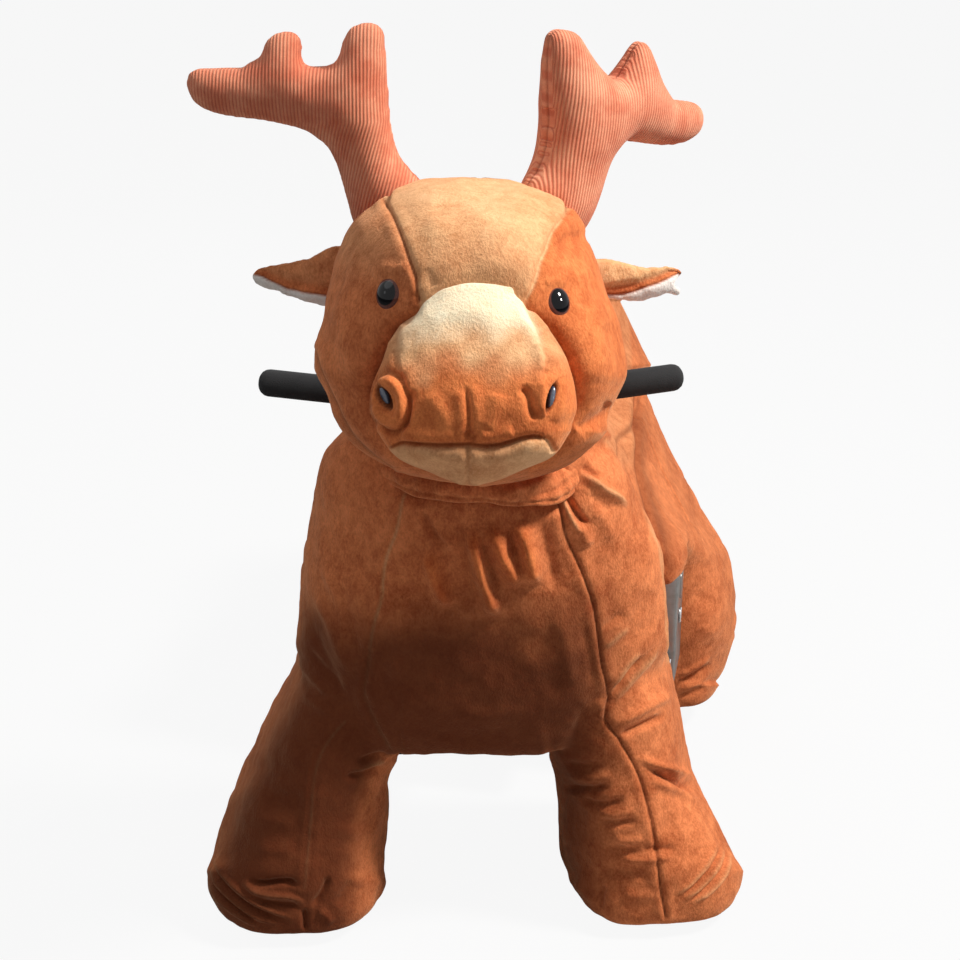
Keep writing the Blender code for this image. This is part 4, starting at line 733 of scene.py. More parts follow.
class Look:
    """A procedural material built up from noises, masks and bumps."""

    def __init__(self, name, roughness, metallic=0.0, **sockets):
        self.material = bpy.data.materials.new(name)
        self.material.use_nodes = True
        self.tree = self.material.node_tree
        self.shader = self.tree.nodes["Principled BSDF"]
        sockets.update(Roughness=roughness, Metallic=metallic)
        for socket, value in sockets.items():
            self.shader.inputs[socket.replace("_", " ")].default_value = value
        self.place = add_node(self.tree, "TexCoord").outputs["Object"]
        self.normal = None

    def noise(self, scale, detail=3.0, roughness=0.5, stretch=None, distortion=0.0):
        """Noise in the place of the object, stretched along its axes if asked."""
        place = self.place
        if stretch is not None:
            place = add_node(self.tree, "Mapping", Vector=place, Scale=stretch).outputs["Vector"]
        return add_node(self.tree, "TexNoise", Vector=place, Scale=scale, Detail=detail,
                        Roughness=roughness, Distortion=distortion).outputs["Fac"]

    def cells(self, scale):
        return add_node(self.tree, "TexVoronoi", Vector=self.place, Scale=scale).outputs["Distance"]

    def calc(self, operation, first, second=0.0):
        return add_math(self.tree, operation, first, second)

    def part(self, value, share):
        return self.calc("MULTIPLY", value, share)

    def fade(self, value, low, high, at_low=0.0, at_high=1.0):
        """A smooth step between two values."""
        node = add_node(self.tree, "MapRange", Value=value, From_Min=low, From_Max=high,
                        To_Min=at_low, To_Max=at_high)
        node.interpolation_type = "SMOOTHSTEP"
        return node.outputs["Result"]

    def mix(self, share, first, second):
        node = add_node(self.tree, "Mix")
        node.data_type = "RGBA"
        for socket, value in (("Factor", share), (6, first), (7, second)):
            feed(self.tree, node.inputs[socket], value)
        return node.outputs[2]

    def mask(self, name):
        node = add_node(self.tree, "Attribute")
        node.attribute_name = name
        return node.outputs["Fac"]

    def bump(self, height, distance, strength):
        """A bump on top of those before it."""
        node = add_node(self.tree, "Bump", Height=height, Distance=distance, Strength=strength)
        if self.normal is not None:
            self.tree.links.new(self.normal, node.inputs["Normal"])
        self.normal = node.outputs["Normal"]

    def finish(self, colour, roughness=None):
        """Link the colour, gloss and bumps, and give the material."""
        feed(self.tree, self.shader.inputs["Base Color"], colour)
        if roughness is not None:
            feed(self.tree, self.shader.inputs["Roughness"], roughness)
        if self.normal is not None:
            self.tree.links.new(self.normal, self.shader.inputs["Normal"])
        return self.material


def make_plush():
    """Short crushed pile: brushed patches, fine mottling, paler panels, and painted shade and painted
    highlights from the masks.
    """
    look = Look("plush", 0.95, Sheen_Weight=0.34, Sheen_Roughness=0.34,
                Sheen_Tint=tint(255, 206, 160), Specular_IOR_Level=0.12)
    brushed = look.fade(look.noise(11.0, 6.0, 0.62, (1.0, 1.0, 1.5), 0.6), 0.34, 0.66)
    mottled = look.fade(look.noise(80.0, 5.0, 0.68, (1.0, 1.0, 0.75), 0.4), 0.32, 0.68)
    tufts = look.fade(look.noise(420.0, 3.0, 0.65, (1.0, 1.0, 0.6)), 0.30, 0.70)
    tips = look.noise(1500.0, 2.0, 0.7)
    nap = look.calc("ADD", look.part(brushed, 0.32),
                    look.calc("ADD", look.part(mottled, 0.36), look.part(tufts, 0.32)))
    colour = look.mix(nap, tint(158, 74, 38), tint(244, 148, 94))
    # Paler panels; tan, cream and hot are also used for painted highlights on folds and seams and for the
    # lit side painted lighter
    for name, deep, light in (("tan", (190, 124, 78), (244, 190, 138)),
                              ("hot", (178, 80, 40), (246, 146, 84)),
                              ("cream", (214, 152, 100), (254, 210, 160)),
                              ("pale", (250, 218, 174), (255, 246, 216)),
                              ("white", (226, 222, 214), (250, 248, 244))):
        colour = look.mix(look.mask(name), colour, look.mix(nap, tint(*deep), tint(*light)))
    # Painted shade: deep darkens the chest front, the legs turned away from the light and, a little, the
    # rear body where the camera sees it
    colour = look.mix(look.part(look.mask("deep"), 0.90), colour, tint(84, 38, 20))
    # seam darkens the seam lines, and is also painted shade in creases, furrows, the mouth and under the
    # collar
    colour = look.mix(look.part(look.mask("seam"), 0.75), colour, tint(84, 34, 16))
    # Painted shade: dark fills the nostril hollows near black
    colour = look.mix(look.part(look.mask("dark"), 0.93), colour, tint(34, 16, 12))
    colour = look.mix(look.fade(tips, 0.35, 0.65, 0.20, 0.0), colour, tint(130, 64, 34))
    look.bump(mottled, 0.0006, 0.35)
    look.bump(tufts, 0.0007, 0.5)
    look.bump(tips, 0.0004, 0.6)
    return look.finish(colour)


def make_corduroy():
    """Ribbed cotton: fine raised wales with paler tops and grooves painted darker as shade."""
    look = Look("corduroy", 0.9, Sheen_Weight=0.25, Sheen_Roughness=0.5,
                Sheen_Tint=tint(255, 205, 180), Specular_IOR_Level=0.12)
    phase = look.part(look.mask("rib"), 2 * math.pi)
    wale = look.calc("MULTIPLY_ADD", look.calc("SINE", phase), 0.5)
    wale.node.inputs[2].default_value = 0.5
    patches = look.fade(look.noise(26.0, 4.0, 0.65), 0.32, 0.68)
    wear = look.fade(look.noise(9.0, 3.0, 0.5), 0.35, 0.65)
    fibre = look.noise(800.0, 3.0, 0.7)
    top = look.mix(patches, tint(222, 130, 98), tint(246, 174, 138))
    shaded_groove = look.mix(patches, tint(196, 102, 76), tint(222, 134, 104))
    # Painted shade: the grooves between the wales are darker than their tops
    colour = look.mix(look.fade(wale, 0.0, 0.7), shaded_groove, top)
    colour = look.mix(look.fade(wear, 0.0, 1.0, 0.22, 0.0), colour, tint(176, 84, 60))
    colour = look.mix(look.fade(fibre, 0.4, 0.7, 0.20, 0.0), colour, tint(150, 70, 50))
    colour = look.mix(look.part(look.mask("seam"), 0.7), colour, tint(100, 36, 24))
    look.bump(wale, 0.0007, 0.8)
    look.bump(fibre, 0.0004, 0.6)
    return look.finish(colour)


def make_foam():
    """Black foam with open pores."""
    look = Look("foam", 0.85, Specular_IOR_Level=0.3)
    pores = look.cells(900.0)
    cloud = look.noise(45.0, 3.0)
    colour = look.mix(look.fade(cloud, 0.3, 0.7), tint(24, 24, 25), tint(40, 40, 41))
    look.bump(pores, 0.0006, 0.7)
    look.bump(cloud, 0.0010, 0.4)
    return look.finish(colour, look.fade(cloud, 0.2, 0.8, 0.75, 0.95))


def make_rubber():
    """Black rubber with pale dust."""
    look = Look("rubber", 0.75, Specular_IOR_Level=0.35)
    dust = look.noise(35.0, 5.0, 0.65)
    grit = look.noise(700.0, 2.0)
    colour = look.mix(look.fade(dust, 0.45, 0.75, 0.0, 0.6), tint(26, 26, 27), tint(74, 70, 66))
    look.bump(grit, 0.0004, 0.6)
    return look.finish(colour, look.fade(dust, 0.3, 0.8, 0.6, 0.9))


def make_plastic(name, dark, light, roughness=0.42):
    """Moulded plastic with a fine grain."""
    look = Look(name, roughness)
    cloud = look.noise(60.0, 4.0)
    grain = look.cells(1400.0)
    colour = look.mix(look.fade(cloud, 0.35, 0.7), dark, light)
    look.bump(grain, 0.0002, 0.5)
    return look.finish(colour, look.fade(cloud, 0.25, 0.75, roughness - 0.08, roughness + 0.15))


def make_metal(name, colour, worn, roughness, brush=None):
    """Bare metal with worn patches, brushed if asked."""
    look = Look(name, roughness, 1.0)
    cloud = look.noise(30.0, 5.0, 0.6)
    fine = look.noise(500.0, 3.0, 0.6, brush)
    found = look.mix(look.fade(cloud, 0.45, 0.8, 0.0, 0.8), colour, worn)
    look.bump(fine, 0.0002, 0.35)
    gloss = look.calc("ADD", cloud, look.part(fine, 0.5))
    return look.finish(found, look.fade(gloss, 0.5, 1.0, roughness * 0.75, roughness * 1.5))


def make_powder_coat():
    """Black powder coat with orange peel and rubbed spots."""
    look = Look("powder_coat", 0.5, Coat_Weight=0.25, Coat_Roughness=0.35)
    peel = look.noise(380.0, 2.0)
    wear = look.noise(24.0, 6.0, 0.7)
    colour = look.mix(look.fade(wear, 0.62, 0.78, 0.0, 0.5), tint(30, 30, 32), tint(92, 88, 84))
    look.bump(peel, 0.0003, 0.6)
    return look.finish(colour, look.fade(wear, 0.3, 0.8, 0.4, 0.65))


def make_plywood():
    """Plywood with its grain along the board."""
    look = Look("plywood", 0.6)
    grain = look.noise(40.0, 6.0, 0.7, (6.0, 0.5, 6.0), 1.5)
    pores = look.noise(600.0, 3.0, 0.6, (3.0, 0.15, 3.0))
    colour = look.mix(look.fade(grain, 0.3, 0.7), tint(176, 134, 88), tint(216, 178, 128))
    colour = look.mix(look.fade(pores, 0.5, 0.8, 0.0, 0.4), colour, tint(120, 84, 50))
    look.bump(pores, 0.0003, 0.6)
    return look.finish(colour, look.fade(grain, 0.2, 0.8, 0.5, 0.75))


def make_eye():
    """A glass eye: dark pupil, maroon ring and a near-black rim."""
    look = Look("eye_glass", 0.10, Specular_IOR_Level=0.22)
    ring = look.mask("ring")
    rays = look.noise(900.0, 3.0, 0.7)
    iris = look.mix(rays, tint(62, 28, 26), tint(136, 80, 66))
    colour = look.mix(look.fade(ring, 0.66, 0.74), tint(5, 5, 9), iris)
    colour = look.mix(look.fade(ring, 0.90, 0.96), colour, tint(14, 8, 9))
    return look.finish(colour)


def make_glaze():
    """The dull blue-grey glass in the nostrils."""
    look = Look("nostril_glass", 0.28, Coat_Weight=0.6, Coat_Roughness=0.15)
    cloud = look.noise(120.0, 4.0)
    look.bump(cloud, 0.0006, 0.4)
    return look.finish(look.mix(cloud, tint(34, 40, 56), tint(88, 96, 116)),
                       look.fade(cloud, 0.3, 0.7, 0.2, 0.4))


PLUSH = make_plush()
CORDUROY = make_corduroy()
FOAM = make_foam()
RUBBER = make_rubber()
BLACK_PLASTIC = make_plastic("black_plastic", tint(26, 26, 28), tint(44, 44, 46))
RED_PLASTIC = make_plastic("red_plastic", tint(160, 24, 20), tint(190, 40, 32), 0.35)
BATTERY_CASE = make_plastic("battery_case", tint(54, 56, 62), tint(78, 80, 86), 0.5)
CHROME = make_metal("chrome", tint(225, 226, 228), tint(190, 188, 184), 0.12)
STAINLESS = make_metal("stainless", tint(150, 149, 147), tint(120, 117, 112), 0.34, (0.06, 1.0, 1.0))
ZINC = make_metal("zinc", tint(178, 180, 182), tint(140, 138, 134), 0.38)
ALUMINIUM = make_metal("aluminium", tint(200, 201, 203), tint(168, 168, 166), 0.36, (1.0, 0.08, 1.0))
GEAR_STEEL = make_metal("gear_steel", tint(150, 150, 154), tint(96, 88, 78), 0.34)
POWDER_COAT = make_powder_coat()
PLYWOOD = make_plywood()
EYE_GLASS = make_eye()
NOSTRIL_GLASS = make_glaze()


# Front body: chest and both front legs in one skin

# Sections of the chest: height, y, half width, half depth
CHEST = ((.2305, -.045, .150, .090), (.2325, -.046, .178, .116), (.270, -.050, .206, .132),
         (.350, -.053, .226, .138), (.440, -.057, .220, .139), (.520, -.064, .202, .133),
         (.575, -.082, .180, .124), (.625, -.098, .142, .104), (.660, -.108, .112, .076))
# Sections of a front leg: height, x, y, half width, half depth
LEG = ((.012, .219, -.045, .102, .132), (.018, .221, -.045, .116, .148), (.062, .221, -.042, .119, .148),
       (.130, .204, -.037, .103, .136), (.200, .182, -.036, .088, .129), (.270, .156, -.040, .084, .122),
       (.360, .120, -.048, .074, .104))

# Outlines of the chest and the legs in the picture
OUTLINE_LEFT = ((328, 440), (318, 470), (313, 494), (304, 548), (300, 592), (296, 640), (294, 660),
                (285, 680), (267, 717), (249, 753), (229, 794), (220, 830), (211, 871))
OUTLINE_RIGHT = ((601, 435), (630, 475), (650, 519), (660, 545), (667, 587), (669, 632), (669, 645),
                 (673, 677), (679, 708), (693, 769), (706, 797), (725, 836), (737, 869))
CHEST_LOWER = ((400, 754), (420, 754), (445, 755), (470, 756), (500, 756), (525, 755), (545, 756))
INNER_LEFT = ((389, 762), (388, 778), (387, 808), (386, 838), (386, 870), (384, 885))
INNER_RIGHT = ((548, 758), (555, 768), (557, 797), (558, 825), (560, 853), (573, 884))

# Row under which the legs are apart, and rows between which the chest is stretched down
LEGS_APART = 756
CHEST_HELD = 600
CHEST_END = 790

CHEST_SEAM_LEFT = ((402, 498), (397, 530), (388, 555), (383, 578), (381, 600), (375, 622), (371, 645),
                   (368, 668), (365, 690), (368, 705), (376, 724), (389, 748))
CHEST_SEAM_RIGHT = ((561, 505), (564, 524), (568, 540), (578, 562), (586, 582), (593, 604), (598, 636),
                    (601, 664), (606, 684), (608, 697), (604, 712), (607, 723), (618, 738), (630, 757),
                    (640, 778), (646, 800), (651, 822), (656, 850), (659, 876), (662, 894), (666, 917))
LEG_SEAM_LEFT = ((345, 722), (334, 734), (324, 749), (318, 765), (314, 785), (312, 812), (309, 842),
                 (307, 866), (305, 886))

SHOULDER_EDGE = ((603, 438), (622, 462), (636, 481), (648, 508), (657, 545), (662, 575), (666, 620),
                 (669, 660))

# The rows of all strokes: a line in the picture, its height and its width in millimetres
GATHERS = (
    (((469, 524), (474, 545), (478, 561), (482, 579), (489, 598), (496, 612), (501, 621)), 16.0, 9.2),
    (((488, 522), (496, 539), (502, 554), (511, 572), (518, 590)), 13.0, 9.2),
    (((517, 518), (523, 536), (527, 550), (531, 567), (535, 588)), 13.0, 9.2),
    (((425, 548), (430, 562), (435, 577), (442, 593), (452, 608)), 12.0, 9.2),
)
BODY_STROKES = (
    (((479, 530), (482, 545), (487, 560), (492, 576), (500, 597)), -7.0, 4.5),
    (((507, 524), (511, 540), (516, 556), (522, 574)), -5.0, 4.5),
    (((538, 516), (545, 540), (551, 566), (556, 596)), -3.6, 7),
    (((421, 508), (426, 522), (436, 537), (447, 548)), -5.0, 3.5),
    (((440, 530), (447, 541), (457, 552)), 3.6, 4.5),
    (((455, 512), (460, 532), (467, 556), (474, 582), (485, 608)), -4.6, 6),
    (((410, 520), (415, 545), (422, 575)), -3.0, 7), (((452, 590), (462, 606), (472, 620)), 3.0, 6),
    (((566, 495), (567, 508), (572, 520), (580, 532)), 4.6, 3.2),
    (((571, 495), (574, 507), (581, 518), (590, 527)), -8.0, 3.4),
    (((577, 524), (584, 535), (590, 548)), 6.0, 7.0),
    (((583, 470), (590, 479), (603, 489), (616, 497), (630, 507)), 7.0, 4.0),
    (((585, 464), (592, 472), (600, 479)), -5.0, 3.5),
    (((586, 492), (600, 502), (616, 513)), -3.0, 6), (((590, 508), (606, 524), (616, 545)), 3.0, 7),
    (((602, 438), (612, 451), (624, 464), (636, 480), (648, 508)), 4.0, 4.0),
    (((312, 585), (330, 625), (352, 676)), 4.0, 7), (((306, 622), (326, 660), (348, 705)), -3.4, 6),
    (((338, 575), (350, 620), (364, 664)), -3.0, 6), (((320, 560), (336, 590), (352, 632)), 3.2, 6),
    (((299, 655), (315, 679), (333, 698)), 4.0, 5), (((352, 560), (360, 595), (366, 630)), 2.4, 7),
    (((307, 648), (322, 668), (342, 690)), -3.4, 4), (((300, 690), (316, 704), (338, 716)), 3.0, 6),
    (((612, 702), (626, 684), (648, 661), (662, 646)), 4.2, 4.0),
    (((610, 688), (624, 668), (642, 650)), 3.4, 4.0), (((608, 695), (624, 676), (644, 656)), -3.4, 3.2),
    (((612, 728), (630, 716), (650, 704), (674, 693)), 5.0, 5.5),
    (((616, 737), (632, 730), (648, 722), (664, 713)), -7.0, 4.2),
    (((600, 628), (612, 622), (626, 612)), -2.4, 4), (((602, 648), (616, 638), (632, 626)), 2.4, 4),
    (((420, 700), (470, 716), (530, 706)), 2.2, 14), (((400, 728), (470, 738), (560, 724)), -2.0, 12),
    (((520, 600), (528, 640), (524, 690)), 1.6, 12), (((556, 610), (566, 650), (572, 700)), 2.6, 9),
    (((400, 600), (398, 640), (392, 690)), 2.0, 9), (((580, 620), (590, 656), (594, 690)), -2.4, 6),
    (((594, 698), (600, 708), (596, 720)), 3.0, 5), (((586, 705), (580, 722), (576, 740)), -2.4, 6),
    (((356, 763), (371, 758), (389, 752)), -5.0, 4.0), (((342, 777), (362, 774), (388, 766)), -5.0, 4.0),
    (((350, 770), (368, 766), (388, 759)), 3.0, 4), (((262, 800), (284, 797), (306, 800)), -3.6, 9),
    (((240, 772), (270, 768), (304, 775)), -2.6, 9), (((330, 830), (356, 832), (386, 826)), 2.2, 9),
    (((246, 880), (262, 883), (278, 881), (292, 881), (301, 888)), -8.0, 3.8),
    (((240, 880), (255, 891), (270, 895), (286, 896), (298, 900), (304, 909)), 5.0, 3.2),
    (((252, 898), (272, 903), (292, 905), (302, 913)), -4.0, 3.0),
    (((213, 850), (218, 868), (232, 884), (252, 900), (276, 913), (298, 922)), 4.2, 2.6),
    (((210, 862), (216, 881), (234, 900), (256, 916), (282, 927)), 4.2, 2.6),
    (((209, 876), (217, 895), (238, 914), (262, 928)), 3.6, 2.6),
    (((211, 856), (217, 875), (233, 893), (254, 908), (290, 923)), -4.2, 2.4),
    (((209, 869), (216, 888), (235, 907), (260, 923)), -4.2, 2.4),
    (((305, 908), (305, 920), (306, 934)), -6.0, 3.6),
    (((311, 908), (319, 898), (325, 887), (329, 874)), -5.4, 4.0),
    (((338, 908), (345, 892), (352, 878)), -2.6, 6), (((316, 912), (326, 916), (332, 926)), 3.4, 5),
    (((232, 812), (256, 818), (300, 822)), 2.6, 9), (((256, 845), (276, 850), (300, 848)), 2.4, 8),
    (((648, 767), (664, 776), (680, 783), (697, 791)), -8.0, 3.8),
    (((636, 756), (656, 765), (672, 770), (690, 776), (701, 784)), 6.5, 4.6),
    (((646, 777), (664, 786), (684, 793), (706, 808)), 4.4, 5.0),
    (((616, 858), (636, 860), (656, 858), (674, 855)), 4.6, 4.6),
    (((598, 872), (620, 873), (650, 874)), -4.6, 6), (((640, 848), (660, 849), (678, 848)), -3.0, 4),
    (((561, 785), (576, 789), (594, 790), (613, 786)), -7.0, 4.6),
    (((578, 797), (596, 805), (614, 803), (626, 796)), -6.0, 4.6),
    (((562, 762), (584, 767), (606, 763)), -4.0, 5), (((566, 775), (590, 779), (614, 774)), 3.6, 4.5),
    (((598, 820), (616, 823), (638, 819)), -5.4, 5.0), (((596, 811), (614, 814), (634, 808)), 3.0, 4.5),
    (((604, 848), (622, 851), (642, 849)), -4.0, 5), (((612, 836), (626, 841), (646, 837)), 3.6, 5),
    (((560, 812), (566, 828), (566, 846)), 2.6, 6), (((574, 880), (586, 893), (598, 901)), 3.4, 5),
    (((605, 884), (602, 896), (602, 910)), -5.0, 4), (((620, 892), (640, 896), (656, 893)), 3.0, 6),
    (((723, 845), (717, 866), (704, 884), (683, 902)), 4.0, 2.4),
    (((730, 850), (725, 871), (711, 890), (691, 906)), 4.0, 2.4),
    (((716, 842), (709, 861), (696, 879), (675, 897)), 3.4, 2.4),
    (((726, 848), (721, 869), (707, 887), (687, 904)), -4.0, 2.0),
    (((720, 844), (713, 864), (700, 881), (679, 900)), -4.0, 2.0),
)


def make_front_body(collar):
    """Chest and front legs, with the folds, gathers and seams of the photograph."""
    chest = loft([level_ring(z, 0, y, w, d) for z, y, w, d in CHEST], STEERING)
    forms = [chest] + legs(LEG, STEERING, FRONT_WELL_INNER, FRONT_AXLE_Y)
    skin = Relief(one_skin(forms, voxel=0.0024, rounds=22))
    spots = local(skin.points, STEERING)
    joint = ramp(spots[:, 2], 0.235, 0.265) * ramp(-spots[:, 2], -0.41, -0.36)
    skin.soften(joint * ramp(np.abs(spots[:, 0]), 0.09, 0.13), 95)
    skin.fit_outline(OUTLINE_LEFT, OUTLINE_RIGHT)
    across = local(skin.points, STEERING)[:, 0]
    skin.fit_outline(None, INNER_LEFT, (across < 0) & (skin.row > LEGS_APART), fade=60)
    skin.fit_outline(INNER_RIGHT, None, (across > 0) & (skin.row > LEGS_APART), fade=60)
    middle = (np.abs(across) < 0.115) & (skin.facing > -0.6) & (skin.row < CHEST_END)
    skin.fit_lower(CHEST_LOWER, CHEST_HELD, middle)
    spots = local(skin.points, STEERING)
    outward = local(skin.points + skin.normals, STEERING) - spots
    hidden = 1 - ramp(skin.facing, -0.25, 0.10)
    back = ramp(outward[:, 1], -0.2, 0.25)
    low = ramp(-spots[:, 2], -0.26, -0.20)
    outer = ramp(np.abs(spots[:, 0]), 0.12, 0.16)
    skin.rough(0.060, 0.0040, 3)
    skin.rough(0.026, 0.0016, 5)
    skin.rough(0.011, 0.0006, 8)
    # Deep furrows get painted shade and thin raised folds a painted highlight
    skin.strokes(BODY_STROKES, ends=0.26, tone=0.09, light=0.6)
    skin.strokes(GATHERS, ends=0.24)
    # Painted highlight: the crests of the gathers are painted the warmer, brighter hot tone
    for line, _, _ in GATHERS:
        found, far, along = skin.near(curve_through(line, 24), 0.03)
        skin.mark("hot", bell(far, 0.009) * ramp(along, 0, 0.2) * ramp(1 - along, 0, 0.3), found)
    # Painted highlight: a pale rim along the shoulder edge where the cloth turns away from the camera
    found, far, _ = skin.near(curve_through(SHOULDER_EDGE, 40), 0.02, facing=0.0)
    skin.mark("tan", 0.6 * bell(far, 0.004) * ramp(-skin.facing[found], -0.30, -0.16), found)
    # The left seams carry a painted highlight along them
    skin.seam(CHEST_SEAM_LEFT, 0.0012, 0.0022, 0.0016, 0.1, light=0.8)
    skin.seam(CHEST_SEAM_RIGHT, 0.0026, 0.0020, 0.0012, 0.9)
    skin.seam(LEG_SEAM_LEFT, -0.0014, 0.0022, 0.0016, 0.0, light=0.95)
    for side in (1, -1):
        half = side * spots[:, 0] > 0
        skin.plane_seam(STEERING, (side * 0.20, 0.035, 0.2), (side * 0.35, 1, 0), hidden * outer * half)
        skin.plane_seam(STEERING, (side * 0.215, 0, 0), (1, 0, 0), back * low * half)
    skin.plane_seam(STEERING, (0, 0, 0), (1, 0, 0), back)
    ripple = np.sin(spots[:, 2] * 210 + 5 * lumps(skin.points, 0.09, 21))
    skin.lift += hidden * ripple * 0.0012 * ramp(lumps(skin.points, 0.12, 31), -0.1, 0.4)
    # Painted shade under the collar's rim, in the crease it presses into the chest
    skin.crease(collar, 0.0090, 0.010, 0.75)
    hem = ramp(-spots[:, 2], -0.020, -0.012)
    skin.mark("seam", 0.5 * hem)
    # Painted shade: faces turned to the front and left, away from the light, are darkened, less above a
    # lumpy line between rows 560 and 660; brushed is the share above that line
    turned = -outward[:, 1] - 0.45 * outward[:, 0]
    front = ramp(turned, 0.1, 0.8) * ramp(0.20 - spots[:, 0], 0.02, 0.10)
    brushed = ramp(-skin.row + 26 * lumps(skin.points, 0.05, 17), -660, -560)
    skin.mark("deep", front * (1.0 - 0.95 * brushed))
    skin.lift *= ramp(spots[:, 2], 0.009, 0.020)
    skin.apply()
    clear_wheels(skin, STEERING, FRONT_WELL_INNER, FRONT_AXLE_Y)
    finish_piece("front_body", skin, "steering", ("chest", "front_leg_left", "front_leg_right"),
                 PLUSH)


# Collar: a wide band of pile folded over round the front of the neck

COLLAR_CENTRE_Y = -0.098
COLLAR_HALF = (0.124, 0.130)
# Height of the band's lower rim at an angle about the neck, in degrees from the right side
COLLAR_RIM = ((-215, .604), (-190, .596), (-172, .588), (-154, .5815), (-139, .5808), (-128, .5785),
              (-118, .5798), (-104, .5805), (-91, .5787), (-79, .5745), (-65, .5690), (-55, .5658),
              (-46, .5660), (-38, .5700), (-28, .5760), (-20, .5860), (-8, .597), (10, .604), (35, .608))
# Where the band starts and ends, in degrees
COLLAR_START = -205
COLLAR_END = 25
# The fold's section: outward and upward from the rim, in millimetres
COLLAR_FOLD = ((0, 3), (1.6, 9), (1.0, 17), (-3, 26), (-10, 33), (-20, 36), (-30, 34), (-37, 26),
               (-39, 16), (-34, 7), (-24, 3), (-13, 1.5), (-5, 0.5))
COLLAR_STROKES = (
    (((560, 470), (545, 480), (524, 488), (500, 494)), 3.2, 5),
    (((578, 472), (566, 484), (548, 493), (526, 499)), -2.6, 3.5),
    (((376, 458), (386, 470), (404, 481)), 2.4, 5), (((400, 488), (430, 493), (462, 496)), -1.4, 4),
)


def make_collar():
    """The folded band round the neck, open at the back."""
    rim = curve_through(COLLAR_RIM, 200)
    rings = []
    for angle in np.radians(np.linspace(COLLAR_START, COLLAR_END, 97)):
        height = float(np.interp(math.degrees(angle), rim[:, 0], rim[:, 1]))
        ring = []
        for outward, upward in COLLAR_FOLD:
            ring.append(((COLLAR_HALF[0] + outward / 1000) * math.cos(angle),
                         COLLAR_CENTRE_Y + (COLLAR_HALF[1] + outward / 1000) * math.sin(angle),
                         height + upward / 1000))
        rings.append(ring)
    roll = Relief(one_skin([loft(rings, STEERING)], voxel=0.0018, rounds=3))
    spots = local(roll.points, STEERING)
    across, back = spots[:, 0] / COLLAR_HALF[0], (spots[:, 1] - COLLAR_CENTRE_Y) / COLLAR_HALF[1]
    angle = np.degrees(np.arctan2(back, across))
    angle = np.where(angle > 90, angle - 360, angle)
    above = spots[:, 2] - np.interp(angle, rim[:, 0], rim[:, 1])
    drift = lumps(roll.points, 0.045, 4)
    roll.lift -= 0.0020 * bell(above - 0.0075, 0.0022) * ramp(roll.facing, 0, 0.2)
    roll.lift += 0.0012 * np.sin(angle * 0.55 + 3.0 * drift) * ramp(above, 0.004, 0.012)
    roll.rough(0.036, 0.0030, 12)
    roll.rough(0.013, 0.0007, 14)
    roll.strokes(COLLAR_STROKES)
    roll.mark("seam", 0.20 * bell(above - 0.0075, 0.0014))
    roll.apply()
    finish_piece("collar_roll", roll, "steering", ("collar",), PLUSH)
    return roll.mesh


# Head

# Sections of the head: y, height, half width, half height
HEAD_RINGS = ((-.062, .775, .055, .055), (-.070, .775, .102, .096), (-.105, .772, .141, .132),
              (-.150, .769, .160, .152), (-.210, .767, .168, .161), (-.270, .767, .161, .155),
              (-.320, .770, .138, .135), (-.352, .772, .101, .104), (-.364, .772, .055, .058))
# Outline and seams of the head in the picture
HEAD_LEFT = ((383, 204), (355, 221), (345, 235), (335, 256), (330, 279), (324, 298), (323, 319),
             (317, 337), (314, 352), (314, 368), (319, 380), (330, 402), (338, 415))
HEAD_RIGHT = ((578, 218), (586, 230), (591, 245), (597, 261), (606, 289), (619, 319), (627, 352),
              (630, 376), (622, 393), (611, 416), (601, 435))
HEAD_MIDDLE = (472, 330)
CROWN = ((345, 235), (355, 221), (370, 208), (384, 198), (400, 188), (420, 180), (440, 178),
         (480, 177), (500, 178), (515, 180), (530, 184), (545, 190), (557, 197), (567, 206), (578, 218),
         (586, 230))
FOREHEAD_LEFT = ((382, 194), (385, 202), (392, 214), (399, 230), (405, 245), (411, 262), (416, 276),
                 (417, 290), (419, 301))
FOREHEAD_RIGHT = ((578, 202), (569, 210), (560, 222), (551, 235), (546, 249), (540, 263), (537, 277),
                  (532, 290), (527, 299))
CHEEK_SEAM = ((315, 352), (320, 368), (328, 387), (339, 410), (354, 437), (372, 455), (391, 468))
# Half the width of the pale panel that runs back over the crown
CROWN_HALF = 0.088
LEFT_EYE = (388, 293)
RIGHT_EYE = (559, 302)
HEAD_STROKES = (
    (((340, 300), (352, 340), (356, 380)), 2.4, 12), (((328, 330), (340, 372), (352, 410)), -1.8, 10),
    (((590, 300), (598, 340), (590, 385)), 2.4, 12), (((606, 320), (612, 356), (606, 394)), -1.8, 10),
    (((352, 236), (362, 258), (366, 280)), -1.4, 9), (((566, 232), (574, 252), (578, 276)), -1.4, 9),
    (((430, 200), (470, 210), (520, 202)), -1.2, 10), (((420, 222), (470, 234), (530, 224)), 1.2, 12),
    (((578, 433), (592, 424), (606, 414), (614, 402)), -4.4, 6),
    (((569, 451), (586, 440), (602, 428)), 2.4, 6),
    (((574, 300), (584, 305), (593, 309)), -1.2, 3), (((570, 292), (577, 300), (579, 312)), 1.6, 5),
    (((371, 277), (380, 270), (390, 268), (400, 273)), 2.0, 5),
    (((545, 284), (556, 280), (568, 282)), 2.0, 5),
    (((400, 262), (410, 280), (417, 294)), 1.8, 6), (((425, 268), (430, 280), (434, 288)), -1.4, 5),
)


